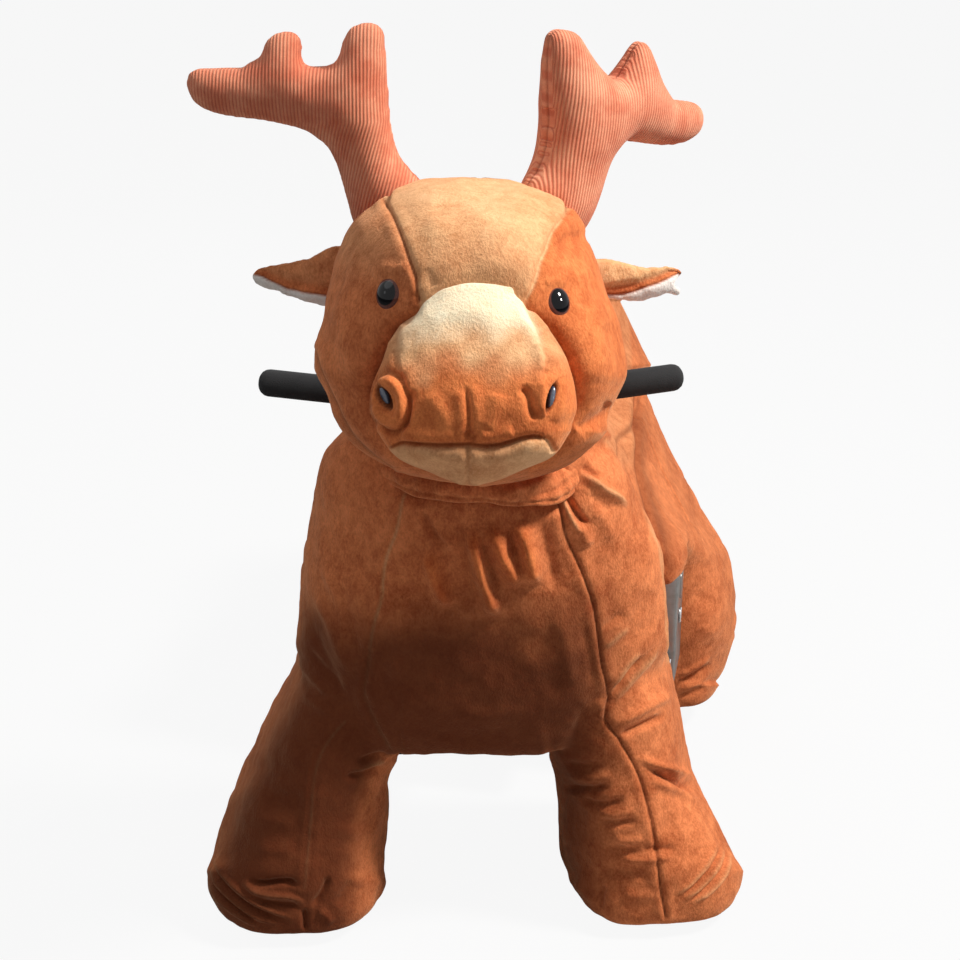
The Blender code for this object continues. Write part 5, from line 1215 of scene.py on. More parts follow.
def make_head(muzzle, sewn_on):
    """The head, pressed in where the muzzle, ears and antlers are sewn on, with painted shade in those
    creases.
    """
    form = loft([facing_ring(*ring, 2.2, 0.10) for ring in HEAD_RINGS], HEAD)
    skin = Relief(one_skin([form], voxel=0.0018, rounds=10))
    skin.fit_outline(HEAD_LEFT, HEAD_RIGHT, fade=70)
    skin.fit_round(HEAD_MIDDLE, CROWN)
    spots = local(skin.points, HEAD)
    outward = local(skin.points + skin.normals, HEAD) - spots
    hidden = 1 - ramp(skin.facing, 0.05, 0.30)
    skin.rough(0.045, 0.0024, 41)
    skin.rough(0.020, 0.0008, 43)
    skin.strokes(HEAD_STROKES)
    # Painted shade in the creases round the muzzle, antlers and ears
    skin.crease(muzzle, 0.0100, 0.010, 0.75, 0.22 + 0.78 * ramp(skin.row, 302, 335))
    for piece in sewn_on:
        skin.crease(piece, 0.0030, 0.007, 0.5)
    skin.seam(FOREHEAD_LEFT, 0.0020, 0.0019, 0.0010, 0.85)
    skin.seam(FOREHEAD_RIGHT, 0.0012, 0.0022, 0.0012, 0.0)
    skin.seam(CHEEK_SEAM, 0.0026, 0.0026, 0.0022, 0.6)
    for side in (1, -1):
        skin.plane_seam(HEAD, (side * CROWN_HALF, 0, 0), (1, 0, 0),
                        hidden * ramp(outward[:, 2], -0.3, 0.1), 0.0030, 0.0028)
        skin.plane_seam(HEAD, (0, -0.205, 0), (0, 1, -0.25),
                        ramp(np.abs(outward[:, 0]), 0.55, 0.8) * ramp(-spots[:, 2], -0.80, -0.76))
    skin.plane_seam(HEAD, (0, 0, 0), (1, 0, 0),
                    ramp(outward[:, 1], 0.1, 0.4) + ramp(-outward[:, 2], 0.6, 0.8))
    for eye in (LEFT_EYE, RIGHT_EYE):
        far = np.hypot(skin.column - eye[0], skin.row - eye[1]) * skin.depth / LENS_PIXELS
        skin.lift -= 0.0045 * bell(far, 0.020) * (skin.facing > 0)
    from_left = skin.column - column_of(FOREHEAD_LEFT, skin.row)
    from_right = column_of(FOREHEAD_RIGHT, skin.row) - skin.column
    seen = ramp(skin.facing, 0.0, 0.12)
    panel = ramp(from_left, -1.5, 2.5) * ramp(from_right, -5, 6) * seen * (skin.row < 320)
    top = ramp(CROWN_HALF - np.abs(spots[:, 0]), -0.003, 0.003) * ramp(outward[:, 2], 0.0, 0.3)
    crown = 0.25 + 0.75 * ramp(-skin.row + 30 * lumps(skin.points, 0.03, 47), -265, -195)
    skin.mark("cream", 0.70 * np.maximum(panel * crown, top * hidden))
    skin.mark("tan", 0.75 * np.maximum(panel, top * hidden))
    temple = ramp(from_left, 2, -2) * ramp(-skin.row, -300, -225) * ramp(skin.column, 330, 345)
    skin.mark("tan", 0.55 * temple * (skin.column < 440) * seen)
    # Painted highlight: a pale cream line along the right forehead seam
    crease = bell(from_right, 1.6) * ramp(skin.row, 212, 224) * (skin.row < 300) * seen
    skin.mark("cream", 0.8 * crease)
    # Painted light: the right cheek, on the lit side, is painted the warmer, brighter hot tone
    lit_right_cheek = ramp(-from_right, -2, 4) * (skin.column > 500) * seen
    skin.mark("hot", 0.8 * lit_right_cheek)
    skin.apply()
    finish_piece("head_skin", skin, "steering", ("head",), PLUSH)
    return skin


# Muzzle

# Sections of the muzzle: y, height, half width, half height
MUZZLE = ((-.230, .775, .080, .074), (-.300, .763, .096, .103), (-.350, .755, .103, .106),
          (-.388, .735, .102, .083), (-.414, .722, .088, .058), (-.426, .718, .048, .030))
# Outline, seams, mouth and nostrils of the muzzle in the picture
MUZZLE_LEFT = ((424, 278), (417, 300), (412, 312), (405, 320), (395, 330), (388, 345), (383, 358),
               (378, 371), (371, 385), (370, 398), (370, 410), (374, 425), (378, 437))
MUZZLE_RIGHT = ((514, 278), (523, 297), (530, 304), (538, 313), (545, 322), (553, 335), (560, 348),
                (568, 360), (574, 375), (577, 395), (577, 410), (574, 425), (570, 435))
MUZZLE_MIDDLE = (473, 398)
MUZZLE_LOWER = ((370, 398), (370, 410), (374, 425), (378, 437), (385, 446), (390, 452), (400, 460),
                (415, 467), (430, 473), (445, 479), (460, 483), (475, 484), (490, 483), (503, 480),
                (515, 475), (530, 468), (545, 461), (555, 455), (563, 447), (570, 435), (574, 425),
                (577, 410), (577, 395))
TOP_LEFT = ((419, 290), (418, 306), (413, 316), (405, 325), (398, 334), (397, 350), (399, 368), (402, 378))
TOP_RIGHT = ((522, 290), (525, 302), (531, 315), (538, 330), (543, 345), (546, 360), (545, 372))
NOSE_SEAM = ((465, 384), (467, 396), (469, 412), (469, 428), (468, 440))
LIP_SEAM = ((468, 449), (468, 466), (469, 488))
MOUTH = ((391, 447), (402, 445), (420, 445), (445, 446), (468, 445), (485, 447), (500, 446), (511, 443),
         (522, 439), (534, 437), (545, 438))
LIP_RIGHT = ((543, 437), (548, 441), (552, 447), (555, 453))
LEFT_NOSTRIL = (385, 398)
RIGHT_NOSTRIL = (551, 398)
# Half width, half height and tilt in degrees of each opening, and of the raised rim of one, which
# stands a few pixels to the right and down
LEFT_OPENING = (5.0, 13.5, -20.0)
RIGHT_OPENING = (4.0, 16.0, 18.0)
LEFT_RIM = (17.5, 29.0, -6.0)
RIM_SHIFT = (5.0, 4.0)
MUZZLE_STROKES = (
    (((395, 450), (430, 455), (467, 457), (505, 455), (548, 444)), 2.6, 8),
    (((398, 434), (430, 436), (458, 434)), 2.6, 6), (((478, 434), (496, 436), (514, 429)), 3.0, 6),
    (((428, 392), (440, 412), (450, 430)), 2.4, 8), (((498, 392), (494, 412), (486, 430)), 2.6, 8),
    (((466, 430), (470, 436), (477, 438)), -4.6, 4.2),
    (((519, 387), (526, 392), (530, 400), (532, 410), (538, 420)), -6.0, 4.4),
    (((540, 380), (542, 392), (541, 404), (545, 418)), 3.0, 4.0),
    (((560, 378), (564, 392), (561, 408), (553, 424)), 2.0, 5),
    (((412, 388), (410, 402), (407, 416), (403, 430)), -3.6, 3),
    (((392, 352), (390, 366), (393, 376)), 1.4, 4), (((404, 322), (398, 338), (391, 350)), 1.6, 5),
    (((396, 345), (399, 360), (403, 376)), 1.6, 3), (((543, 330), (552, 346), (556, 360)), -2.0, 5),
    (((548, 350), (560, 366), (566, 380)), 1.8, 6), (((536, 342), (540, 356), (543, 372)), 2.0, 4),
    (((420, 320), (450, 312), (500, 316)), 1.2, 9),
)


# Stands for a distance at points that the camera doesn't see
FAR_AWAY = 9.0


def oval(skin, centre, half_width, half_height, tilt):
    """How far each seen point is from a tilted oval in the picture, where 1 is its rim."""
    across = skin.column - centre[0]
    down = skin.row - centre[1]
    turn = math.radians(tilt)
    x = across * math.cos(turn) + down * math.sin(turn)
    y = -across * math.sin(turn) + down * math.cos(turn)
    return np.where(skin.facing > 0, np.hypot(x / half_width, y / half_height), FAR_AWAY)


def make_muzzle():
    """The muzzle with its mouth, lip, nose and nostrils."""
    form = loft([facing_ring(*ring, 3.0, 0.12) for ring in MUZZLE], HEAD)
    skin = Relief(one_skin([form], voxel=0.0017, rounds=6))
    skin.fit_outline(MUZZLE_LEFT, MUZZLE_RIGHT, fade=60)
    skin.fit_round(MUZZLE_MIDDLE, MUZZLE_LOWER)
    seen = ramp(skin.facing, 0.0, 0.10)
    skin.rough(0.030, 0.0014, 51)
    skin.rough(0.013, 0.0005, 53)
    # Deep furrows get painted shade
    skin.strokes(MUZZLE_STROKES, tone=0.12)
    skin.seam(TOP_LEFT, 0.0016, 0.0024, 0.0016, 0.15)
    skin.seam(TOP_RIGHT, 0.0018, 0.0024, 0.0018, 0.1)
    skin.stroke(MOUTH, -0.0050, 0.0032, ends=0.04, count=40)
    skin.stroke(LIP_RIGHT, -0.0026, 0.0028, ends=0.1)
    skin.seam(NOSE_SEAM, 0.0026, 0.0024, 0.0020, 0.35, ends=0.2)
    skin.seam(LIP_SEAM, 0.0018, 0.0022, 0.0014, 0.2)
    # Painted shade in the mouth's crease
    far, _ = line_distance(np.stack((skin.column, skin.row), axis=1), curve_through(MOUTH, 40))
    far = np.where(skin.facing > 0, far * skin.depth / LENS_PIXELS, FAR_AWAY)
    skin.mark("seam", 0.8 * bell(far, 0.0016) * seen)
    for centre, opening in ((LEFT_NOSTRIL, LEFT_OPENING), (RIGHT_NOSTRIL, RIGHT_OPENING)):
        far = oval(skin, centre, *opening)
        skin.lift -= 0.0085 * (1 - ramp(far, 0.55, 1.25))
        # Painted shade: the nostril hollow is painted near black
        skin.mark("dark", 0.9 * (1 - ramp(far, 0.85, 1.15)))
    far = oval(skin, np.add(LEFT_NOSTRIL, RIM_SHIFT), *LEFT_RIM)
    skin.lift += 0.0056 * bell(far - 0.66, 0.24)
    skin.lift -= 0.0044 * bell(far - 1.04, 0.13)
    # Painted shade in the groove round the rim
    skin.mark("seam", 0.35 * bell(far - 1.05, 0.10))
    inside = np.minimum(skin.column - column_of(TOP_LEFT, skin.row),
                        column_of(TOP_RIGHT, skin.row) - skin.column)
    blend = 0.012 * LENS_PIXELS * lumps(skin.points, 0.02, 57)
    edge = ramp(inside, -5, 7)
    high = ramp(-skin.row + 0.5 * blend, -350, -314)
    skin.mark("pale", edge * high * seen)
    skin.mark("cream", 0.85 * edge * ramp(-skin.row + blend, -384, -334) * seen)
    flank = (1 - 0.4 * edge) * ramp(-skin.row + blend, -410, -340) * seen
    skin.mark("tan", np.maximum(0.7 * flank, 0.3 * seen))
    below = ramp(skin.row - np.interp(skin.column, *np.array(MOUTH, float).T), 0.5, 3.5)
    below = below * ramp(-skin.column + 0.58 * (skin.row - 427), -544, -538)
    lip = below * seen
    skin.mark("tan", lip)
    skin.mark("cream", lip * (0.4 + 0.4 * ramp(skin.column, 495, 530)))
    spots = local(skin.points, HEAD)
    skin.mark("tan", 0.8 * ramp(-spots[:, 2], -0.700, -0.690) * (1 - seen))
    skin.mark("hot", ramp(skin.row, 345, 385) * (1 - 0.65 * lip) * seen)
    skin.apply()
    finish_piece("muzzle_skin", skin, "steering", ("muzzle",), PLUSH)
    return skin


def surface_point(skin, pixel):
    """The seen surface point nearest to a picture point, with the normal there."""
    far = np.hypot(skin.column - pixel[0], skin.row - pixel[1]) + np.where(skin.facing > 0.05, 0, 1e6)
    near = np.argsort(far)[:60]
    close = near[skin.depth[near] < skin.depth[near].min() + 0.03]
    normal = skin.normals[close].mean(0)
    return Vector(skin.points[close[0]]), Vector(normal).normalized()


LENS_RINGS = 15
LENS_SIDES = 48
# How far round the dome goes, past its widest part
LENS_END = math.radians(112)


def lens(name, seat, tall, shape, material):
    """A glass dome on a seat in the cloth, stretched along tall."""
    sunk, radius, height, stretch = shape
    centre = seat[0] - seat[1] * sunk
    outward = seat[1].normalized()
    tall = (Vector(tall) - outward * outward.dot(Vector(tall))).normalized()
    wide = tall.cross(outward)
    points, marks = [], []
    for i in range(LENS_RINGS):
        angle = LENS_END * i / (LENS_RINGS - 1)
        reach = radius * math.sin(angle)
        for j in range(LENS_SIDES):
            turn = 2 * math.pi * j / LENS_SIDES
            points.append(centre + outward * height * math.cos(angle)
                          + tall * reach * stretch * math.sin(turn) + wide * reach * math.cos(turn))
            marks.append(min(1.0, math.sin(angle)) if angle < math.pi / 2 else 1.0)
    mesh = tube(points, LENS_RINGS, LENS_SIDES, name)
    layer = mesh.attributes.new("ring", "FLOAT", "POINT")
    layer.data.foreach_set("value", np.array(marks, np.float32))
    mesh.materials.append(material)
    mesh.shade_smooth()
    piece = new_object(name, mesh)
    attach(piece, "steering")
    return piece


# Each glass: how deep it is sunk, its radius, its height and how far it is stretched upward
EYE_SHAPE = (0.0045, 0.0140, 0.0098, 1.18)
NOSTRIL_SHAPE = (0.001, 0.0042, 0.0036, 2.7)


def make_eyes(head):
    """A glass eye on each side, sunk a little into the head."""
    for word, pixel in (("left", RIGHT_EYE), ("right", LEFT_EYE)):
        eye = lens("glass_eye_" + word, surface_point(head, pixel), (0, 0, 1), EYE_SHAPE, EYE_GLASS)
        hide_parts("eye_" + word)


def make_nostrils(muzzle):
    """A narrow glass piece inside each nostril."""
    for word, pixel, tilt in (("left", RIGHT_NOSTRIL, 0.30), ("right", LEFT_NOSTRIL, -0.36)):
        piece = lens("nostril_glass_" + word, surface_point(muzzle, pixel), (tilt, 0, 1),
                     NOSTRIL_SHAPE, NOSTRIL_GLASS)


# Ears and tail

# The side of the animal's body on which a piece stands, along x
SIDES = {"left": 1, "right": -1}
# Each ear: outline in the picture, and the line below which its pale lining shows
EARS = {
    "right": (((252, 276), (256, 270), (265, 266), (277, 265), (295, 260), (310, 257), (320, 252),
               (333, 247), (350, 246), (362, 262), (362, 292), (350, 306), (325, 306), (303, 299),
               (283, 293), (259, 286)),
              ((250, 273), (262, 277), (273, 283), (287, 290), (308, 294), (325, 297), (360, 300))),
    "left": (((683, 273), (678, 268), (668, 266), (657, 267), (642, 267), (630, 263), (617, 260),
              (598, 258), (580, 258), (570, 270), (574, 292), (588, 300), (612, 299), (623, 301),
              (638, 302), (652, 298), (665, 295), (677, 296), (681, 289), (674, 283)),
             ((570, 296), (612, 297), (623, 296), (637, 292), (648, 287), (660, 283), (673, 277),
              (686, 273))),
}
# How far an ear is swept back, in degrees
EAR_SWEEP = 14.0
EAR_FULLNESS = 0.50


def make_ears():
    """Both ears, white below the lining and tan or brown above it, the left ear painted paler as the lit
    one.
    """
    made = []
    for word, (outline, lining) in EARS.items():
        side = SIDES[word]
        place = HEAD @ Vector((side * 0.150, -0.165, 0.81))
        sweep = Matrix.Rotation(math.radians(side * EAR_SWEEP), 3, "Z")
        normal = HEAD.to_3x3() @ (sweep @ Vector((0, -1, 0)))
        form = stuffed(outline, place, normal, EAR_FULLNESS, spacing=0.0014)
        skin = Relief(one_skin([form], voxel=0.0016, rounds=5))
        front = ramp(skin.normals @ np.array(normal), 0.1, 0.5)
        lining = np.array(lining, float)
        below = skin.row - np.interp(skin.column, lining[:, 0], lining[:, 1])
        skin.lift -= front * (0.0040 * bell(below + 7, 6) + 0.0022 * bell(below, 1.6))
        skin.rough(0.016, 0.0014, 61 + side)
        skin.rough(0.007, 0.0007, 65)
        lined = ramp(below, -0.5, 1.5) * ramp(-skin.normals @ np.array(normal), -0.95, -0.4)
        skin.mark("white", 0.95 * np.maximum(lined, ramp(below, -0.5, 1.5) * front))
        skin.mark("seam", 0.5 * front * bell(below + 0.5, 1.0))
        # Painted light: the left ear, on the lit side, is painted paler tan and cream than the right
        skin.mark("tan", ramp(-below, 4, 14) * (1.0 if side > 0 else 0.35))
        skin.mark("cream", 0.85 * ramp(-below, 5, 14) * (side > 0))
        skin.apply()
        made.append(skin.mesh)
        finish_piece("ear_skin_" + word, skin, "steering", ("ear_" + word,), PLUSH)
    return made


TAIL_ROOT = Vector((0, 0.728, 0.566))
TAIL_TIP = Vector((0, 0.790, 0.490))
# Half widths at even steps from the root to the tip
TAIL_WIDTHS = (0.019, 0.024, 0.028, 0.026, 0.018, 0.008)
TAIL_THICKNESS = 0.021


def make_tail():
    """A short flat tail."""
    run = (TAIL_TIP - TAIL_ROOT).normalized()
    broad = run.cross(Vector((0, -1, 0))).normalized()
    thin = run.cross(broad).normalized()
    rings = []
    for share in np.linspace(0, 1, 9):
        width = float(np.interp(share, np.linspace(0, 1, len(TAIL_WIDTHS)), TAIL_WIDTHS))
        oval_ring = superellipse(RING, width, TAIL_THICKNESS * (1 - 0.5 * share))
        spot = TAIL_ROOT.lerp(TAIL_TIP, share)
        rings.append([tuple(spot + broad * x + thin * y) for x, y in oval_ring])
    skin = Relief(one_skin([loft(rings, CHASSIS)], voxel=0.0024, rounds=4))
    spots = local(skin.points, CHASSIS)
    skin.rough(0.022, 0.0022, 71)
    skin.rough(0.009, 0.0008, 72)
    skin.lift += 0.0010 * np.sin(spots[:, 0] * 420 + 3 * lumps(skin.points, 0.03, 74))
    middle = bell(spots[:, 0], 0.0016)
    skin.lift -= 0.0018 * middle
    skin.mark("seam", 0.8 * middle)
    skin.apply()
    finish_piece("tail_skin", skin, "chassis", ("tail",), PLUSH)


# Antlers: each sewn from two flat corduroy panels

# Each antler: how far its plane is turned back, in degrees, and its outline in the picture
ANTLERS = {
    "right": (0.0, (
        (186, 84), (188, 74), (196, 69), (220, 68), (241, 68), (250, 62), (261, 55), (266, 42), (275, 34),
        (287, 31), (297, 34), (302, 43), (303, 60), (308, 65), (320, 66), (331, 64), (339, 57), (343, 42),
        (349, 29), (358, 24), (369, 23), (379, 26), (384, 36), (386, 60), (388, 95), (392, 131),
        (398, 155), (408, 169), (420, 182), (432, 206), (430, 232), (404, 242), (372, 238), (356, 226),
        (348, 205), (340, 175), (330, 150), (319, 137), (304, 128), (284, 123), (260, 119), (224, 114),
        (206, 108), (193, 99))),
    "left": (40.0, (
        (548, 34), (547, 60), (547, 90), (547, 120), (546, 138), (543, 153), (537, 168), (528, 182),
        (522, 200), (526, 228), (546, 240), (570, 238), (582, 226), (592, 200), (597, 180), (603, 159),
        (609, 149), (619, 141), (633, 142), (647, 144), (661, 145), (675, 143), (687, 138), (696, 130),
        (699, 119), (698, 108), (690, 102), (678, 100), (668, 98), (661, 88), (655, 75), (651, 60),
        (647, 46), (640, 41), (633, 46), (628, 56), (621, 68), (616, 77), (609, 79), (600, 71),
        (590, 59), (582, 45), (575, 34), (567, 29), (556, 28))),
}
ANTLER_ROOT = 0.074
ANTLER_Y = -0.150
ANTLER_FULLNESS = 0.92
# Width of a rib, and how far the ribs follow the cloth round to the side seams
WALE = 0.0036
RIB_ROUND = 0.024
# Where each antler forks in the picture; the ribs of the right one lean only below its fork
FORK = {"right": (352, 118), "left": (577, 126)}


def make_antlers():
    """Both antlers, with the phase of the corduroy ribs as a mask."""
    made = []
    for word, (sweep, outline) in ANTLERS.items():
        side = SIDES[word]
        turn = HEAD.to_3x3() @ Matrix.Rotation(math.radians(side * sweep), 3, "Z")
        point = HEAD @ Vector((side * ANTLER_ROOT, ANTLER_Y, 0.9))
        normal = turn @ Vector((0, 1, 0))
        along = turn @ Vector((1, 0, 0))
        form = stuffed(outline, point, normal, ANTLER_FULLNESS, spacing=0.0014)
        skin = Relief(one_skin([form], voxel=0.0016, rounds=7))
        skin.rough(0.036, 0.0016, 81 + side)
        skin.rough(0.014, 0.0004, 85)
        off = skin.points - np.array(point)
        edge = bell(off @ np.array(normal), 0.0016)
        skin.lift -= 0.0012 * edge
        flat = off @ np.array(along)
        fork = on_plane([FORK[word]], point, normal)[0, 2]
        lean = np.where(skin.points[:, 2] < fork, -0.30, 0.0) if side < 0 else -0.16
        tilt = np.clip(skin.normals @ np.array(along), -0.98, 0.98)
        flat = flat + RIB_ROUND * (np.arcsin(tilt) - tilt)
        wave = flat - lean * (fork - skin.points[:, 2]) + 0.0006 * lumps(skin.points, 0.06, 88)
        skin.masks["rib"] = wave / WALE
        skin.mark("seam", 0.6 * edge)
        skin.apply()
        made.append(skin.mesh)
        finish_piece("antler_skin_" + word, skin, "steering", ("antler_" + word,), CORDUROY)
    return made


# Rear body: torso and both rear legs in one skin

# Each section: y, half width of the hem, half width and height of the flank and of the top, crest
TORSO = ((.174, .160, .135, .430, .120, .530, .545), (.182, .245, .168, .435, .155, .550, .572),
         (.240, .270, .170, .435, .148, .552, .575), (.330, .272, .176, .425, .130, .505, .528),
         (.420, .268, .178, .430, .112, .522, .548), (.520, .262, .184, .435, .102, .575, .620),
         (.620, .240, .168, .445, .098, .605, .648), (.700, .200, .146, .455, .086, .588, .628),
         (.748, .130, .104, .460, .060, .550, .580), (.757, .080, .065, .460, .040, .510, .530))
TORSO_BASE = 0.306
# Sections of a rear leg: height, x, y, half width, half depth
REAR_LEG = ((.042, .206, .487, .072, .122), (.050, .209, .487, .084, .138), (.100, .212, .487, .089, .144),
            (.180, .216, .490, .088, .148), (.270, .208, .492, .076, .154), (.350, .190, .462, .070, .186),
            (.430, .156, .448, .058, .190), (.500, .116, .445, .048, .165))
# Outline, shade and seam of the rear body in the picture
BODY_RIGHT = ((634, 365), (646, 394), (662, 430), (677, 465), (690, 488), (701, 508), (712, 526),
              (725, 543), (732, 556), (735, 575), (736, 595), (735, 620), (731, 642), (725, 662),
              (720, 680), (718, 690), (713, 697), (706, 702))
REAR_STROKES = (
    (((627, 400), (627, 430), (629, 462)), 4.0, 5), (((668, 520), (690, 545), (720, 566)), 2.6, 10),
    (((690, 590), (706, 602), (722, 608)), -2.0, 9), (((690, 620), (706, 630), (722, 634)), 2.0, 9),
    (((674, 677), (688, 672), (700, 665), (713, 656)), 5.0, 3.6),
    (((674, 684), (690, 679), (702, 672), (714, 664)), -5.0, 3.2),
    (((676, 691), (692, 686), (704, 679), (712, 673)), 4.0, 3.4),
    (((676, 698), (692, 694), (708, 687)), -4.6, 3.6),
)
SHADE_LINE = ((638, 395), (638, 450), (642, 480), (653, 508), (665, 540), (671, 566))
NECKLINE = ((634, 390), (635, 420), (635, 450), (638, 480), (647, 508), (657, 540), (664, 566))


def torso_ring(y, hem, middle, middle_z, top, top_z, crest):
    """A section across the torso, flat under its hem and rounded up to its crest."""
    half = [(hem * 0.45, TORSO_BASE), (hem * 0.90, TORSO_BASE), (hem, TORSO_BASE + 0.028),
            (middle, middle_z), (top, top_z), (top * 0.45, crest)]
    return [(x, y, z) for x, z in half] + [(-x, y, z) for x, z in reversed(half)]


def make_rear_body():
    """Torso and rear legs, with the saddle, its piped seams and the hem."""
    torso = loft([torso_ring(*section) for section in TORSO], CHASSIS, 3)
    forms = [torso] + legs(REAR_LEG, CHASSIS, REAR_WELL_INNER, REAR_AXLE_Y)
    skin = Relief(one_skin(forms, voxel=0.0036, rounds=12))
    spots = local(skin.points, CHASSIS)
    joint = ramp(spots[:, 2], 0.19, 0.25) * ramp(-spots[:, 2], -0.58, -0.44)
    joint *= ramp(np.abs(spots[:, 0]), 0.06, 0.10)
    joint *= ramp(-np.abs(spots[:, 1] - REAR_AXLE_Y), -0.28, -0.17)
    skin.soften(joint, 260)
    skin.fit_outline(None, BODY_RIGHT, skin.row > 300)
    spots = local(skin.points, CHASSIS)
    outward = skin.normals
    flank = ramp(np.abs(outward[:, 0]), 0.25, 0.6)
    upper = ramp(spots[:, 2], 0.315, 0.345)
    seen = ramp(skin.facing, -0.1, 0.2)
    skin.rough(0.090, 0.0050, 91)
    skin.rough(0.034, 0.0012, 93)
    skin.rough(0.012, 0.0004, 95)
    sway = lumps(spots * np.array((1, 1, 0.35)), 0.05, 97)
    drape = np.sin(spots[:, 1] * 88 - spots[:, 2] * 30 + 3.4 * sway)
    skin.lift += 0.0024 * drape * flank * upper * ramp(-spots[:, 2], -0.52, -0.38) * (1 - 0.8 * seen)
    cross = np.sin(spots[:, 2] * 150 + 4 * lumps(spots, 0.07, 99))
    skin.lift += 0.0014 * cross * (1 - upper) * ramp(spots[:, 2], 0.06, 0.12) * (1 - 0.8 * seen)
    # Deep furrows get painted shade
    skin.strokes(REAR_STROKES, ends=0.3, tone=0.09)
    found, far, along = skin.near(curve_through(SHADE_LINE, 40), 0.03, facing=0.0)
    skin.mark("seam", 0.7 * bell(far, 0.010) * ramp(along, 0, 0.15), found)
    skin.seam(NECKLINE, 0.0040, 0.0030, 0.0010, 0.8)
    strip = ramp(-skin.column, -634, -630) * ramp(-skin.row, -480, -455) * (skin.facing > 0)
    skin.mark("tan", 0.35 * strip)
    spine = upper * ramp(outward[:, 2], -0.3, 0.0)
    skin.plane_seam(CHASSIS, (0, 0, 0), (1, 0, 0), spine, 0.0030, 0.0028, 0.0020)
    for side in (1, -1):
        half = upper * ramp(side * spots[:, 0], 0.02, 0.05) * ramp(spots[:, 1], 0.19, 0.215)
        skin.plane_seam(CHASSIS, (side * 0.158, 0, 0.46), (side * 0.55, 0, 1), half, 0.0026, 0.0026, 0.0018)
        haunch = half * ramp(-spots[:, 2], -0.50, -0.46)
        skin.plane_seam(CHASSIS, (0, 0.40, 0.4), (0, 1, -0.35), haunch)
        ridge = (1 - upper) * ramp(np.abs(outward[:, 1]), 0.3, 0.6) * (side * spots[:, 0] > 0)
        skin.plane_seam(CHASSIS, (side * 0.213, 0, 0), (1, 0, 0), ridge)
    hem = bell(spots[:, 2] - 0.332, 0.0024) * (1 - 0.9 * seen)
    skin.lift -= 0.0022 * hem
    skin.mark("seam", 0.8 * hem)
    # Painted shade: the surfaces the camera sees are darkened a little
    skin.mark("deep", 0.11 * seen)
    skin.lift *= ramp(spots[:, 2], 0.043, 0.060)
    skin.apply()
    clear_wheels(skin, CHASSIS, REAR_WELL_INNER, REAR_AXLE_Y)
    finish_piece("rear_body", skin, "chassis", ("torso", "rear_leg_left", "rear_leg_right"),
                 PLUSH)


# Hard parts carried over from the model: material, width of the rounded edges, and names

HARD = (
    (POWDER_COAT, 0.0008, ("chassis_frame", "motor_plate", "battery_tray", "seat_post_front",
                           "seat_post_rear", "front_crossbar", "upright_left", "upright_right",
                           "steering_column", "headset_upper", "headset_lower")),
    (ALUMINIUM, 0.0006, ("axle_bearing_left", "axle_bearing_right", "controller", "stem")),
    (STAINLESS, 0.0006, ("coin_box", "coin_door")),
    (CHROME, 0.0004, ("foot_peg_left", "foot_peg_right", "coin_lock", "handlebar")),
    (ZINC, 0.0005, ("rear_axle", "motor")),
    (GEAR_STEEL, 0.0003, ("axle_gear", "motor_pinion")),
    (BATTERY_CASE, 0.0010, ("battery_left", "battery_right")),
    (PLYWOOD, 0.0008, ("seat_board",)),
    (FOAM, 0.0010, ("grip_left", "grip_right")),
    (RUBBER, 0.0010, ("tyre_front_left", "tyre_front_right", "tyre_rear_left", "tyre_rear_right",
                      "peg_sleeve_left", "peg_sleeve_right")),
    (BLACK_PLASTIC, 0.0008, ("hub_front_left", "hub_front_right", "hub_rear_left", "hub_rear_right",
                             "throttle_housing", "horn_housing")),
    (RED_PLASTIC, 0.0006, ("throttle_lever", "horn_button")),
)


# Points of a rigid part nearer together than this are one
WELD_GAP = 0.00002
# Edges sharper than these are rounded, and shaded apart
ROUNDED_FROM = math.radians(48)
SPLIT_FROM = math.radians(38)


def dress_hard_parts():
    """Material and softly rounded edges for each rigid part."""
    for material, edge, names in HARD:
        for name in names:
            part = bpy.data.objects[name]
            part.data.materials.clear()
            part.data.materials.append(material)
            part.data.shade_smooth()
            weld = part.modifiers.new("weld", "WELD")
            weld.merge_threshold = WELD_GAP
            bevel = part.modifiers.new("edge", "BEVEL")
            bevel.width = edge
            bevel.segments = 2
            bevel.limit_method = "ANGLE"
            bevel.angle_limit = ROUNDED_FROM
            split = part.modifiers.new("split", "EDGE_SPLIT")
            split.split_angle = SPLIT_FROM
            split.use_edge_sharp = False


# Light, floor and finish

# Each lamp: name, place, size, power and colour; all face the middle of the ride
RIDE_MIDDLE = Vector((0, 0, 0.5))
LAMPS = (
    ("key", (2.52, -0.25, 3.45), 0.7, 224, (1.0, 0.97, 0.93)),
    ("top", (-1.3, -1.0, 3.1), 2.4, 22, (0.96, 0.98, 1.0)),
    ("back", (-1.4, 2.8, 2.0), 2.2, 14, (1.0, 1.0, 1.0)),
)


def area_light(name, place, size, power, colour):
    """A round soft lamp that faces the ride."""
    lamp = bpy.data.lights.new(name, "AREA")
    lamp.shape = "DISK"
    lamp.size = size
    lamp.energy = power
    lamp.color = colour
    holder = bpy.data.objects.new(name, lamp)
    holder.location = place
    holder.rotation_euler = (RIDE_MIDDLE - Vector(place)).to_track_quat("-Z", "Y").to_euler()
    bpy.context.scene.collection.objects.link(holder)


# Levels at which the floor and the backdrop render nearly white and the colours as they are written
FLOOR_GREY = 0.42
FLOOR_GLOW = 0.92
WORLD_STRENGTH = 0.18


def blend_shaders(tree, share, first, second, target):
    """Feed a socket from two shaders by a share."""
    blend = add_node(tree, "MixShader")
    for socket, source in zip(blend.inputs, (share, first, second)):
        tree.links.new(source, socket)
    tree.links.new(blend.outputs[0], target)


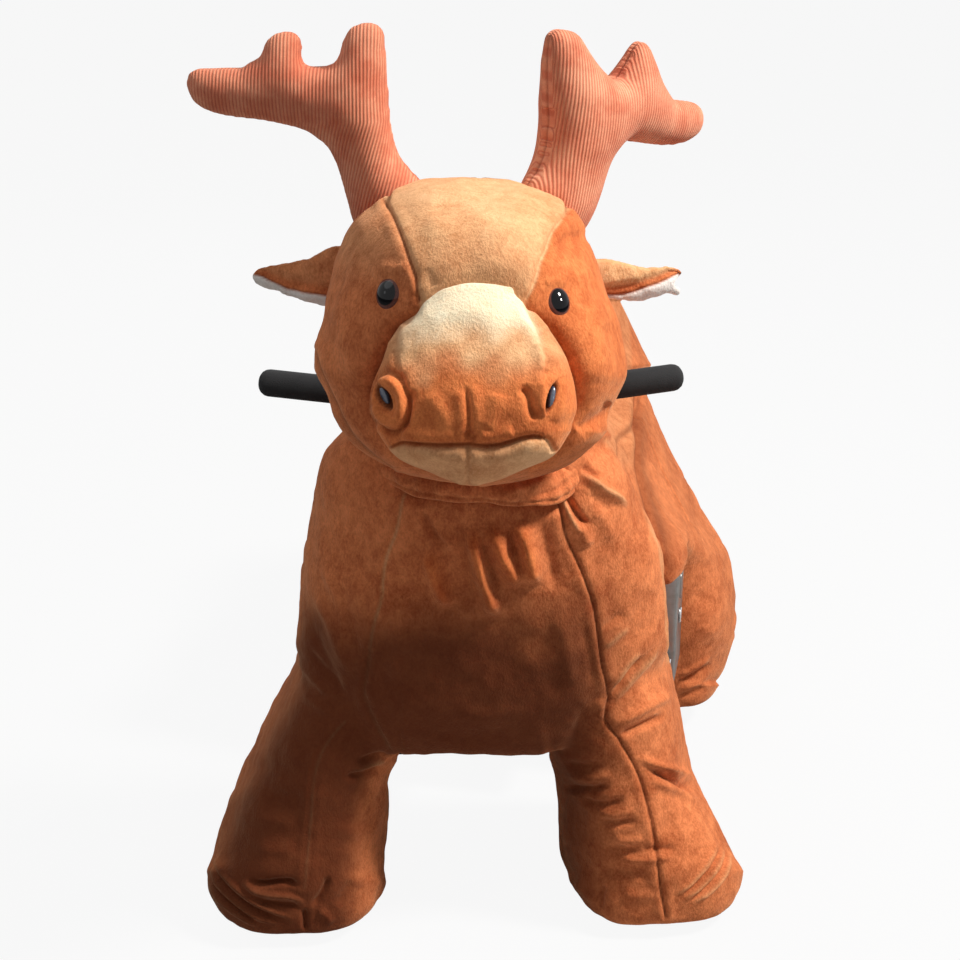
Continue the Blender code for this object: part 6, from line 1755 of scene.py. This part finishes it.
def make_floor():
    """A plain pale floor, which the camera sees as almost white with the shadows kept."""
    whole = bmesh.new()
    bmesh.ops.create_grid(whole, x_segments=1, y_segments=1, size=30.0)
    floor = new_object("floor", written(whole, bpy.data.meshes.new("floor")))
    surface = bpy.data.materials.new("floor")
    surface.use_nodes = True
    tree = surface.node_tree
    shader = tree.nodes["Principled BSDF"]
    shader.inputs["Base Color"].default_value = (FLOOR_GREY, FLOOR_GREY, FLOOR_GREY, 1)
    shader.inputs["Roughness"].default_value = 0.9
    shader.inputs["Specular IOR Level"].default_value = 0.1
    glow = add_node(tree, "Emission", Color=(1, 1, 1, 1))
    ray = add_node(tree, "LightPath").outputs["Is Camera Ray"]
    blend_shaders(tree, add_math(tree, "MULTIPLY", ray, FLOOR_GLOW), shader.outputs[0], glow.outputs[0],
                  tree.nodes["Material Output"].inputs["Surface"])
    floor.data.materials.append(surface)


def make_world():
    """A soft grey light all round, which the camera, gloss and glass see as white."""
    world = bpy.data.worlds.new("studio")
    bpy.context.scene.world = world
    world.use_nodes = True
    tree = world.node_tree
    tree.nodes.clear()
    soft = add_node(tree, "Background", Color=(0.95, 0.97, 1.0, 1), Strength=WORLD_STRENGTH)
    white = add_node(tree, "Background", Color=(1, 1, 1, 1))
    ray = add_node(tree, "LightPath").outputs
    seen = add_math(tree, "MAXIMUM", ray["Is Camera Ray"], ray["Is Glossy Ray"])
    seen = add_math(tree, "MAXIMUM", seen, ray["Is Transmission Ray"])
    blend_shaders(tree, seen, soft.outputs[0], white.outputs[0],
                  add_node(tree, "OutputWorld").inputs["Surface"])


def make_lamps():
    """A key light from the front right, and two weak fill lights."""
    for lamp in LAMPS:
        area_light(*lamp)


make_front_body(make_collar())
sewn_on = make_antlers() + make_ears()
muzzle_skin = make_muzzle()
head_skin = make_head(muzzle_skin.mesh, sewn_on)
make_eyes(head_skin)
make_nostrils(muzzle_skin)
make_rear_body()
make_tail()
dress_hard_parts()
make_floor()
make_world()
make_lamps()
bpy.context.scene.view_settings.view_transform = "Standard"
bpy.context.view_layer.update()
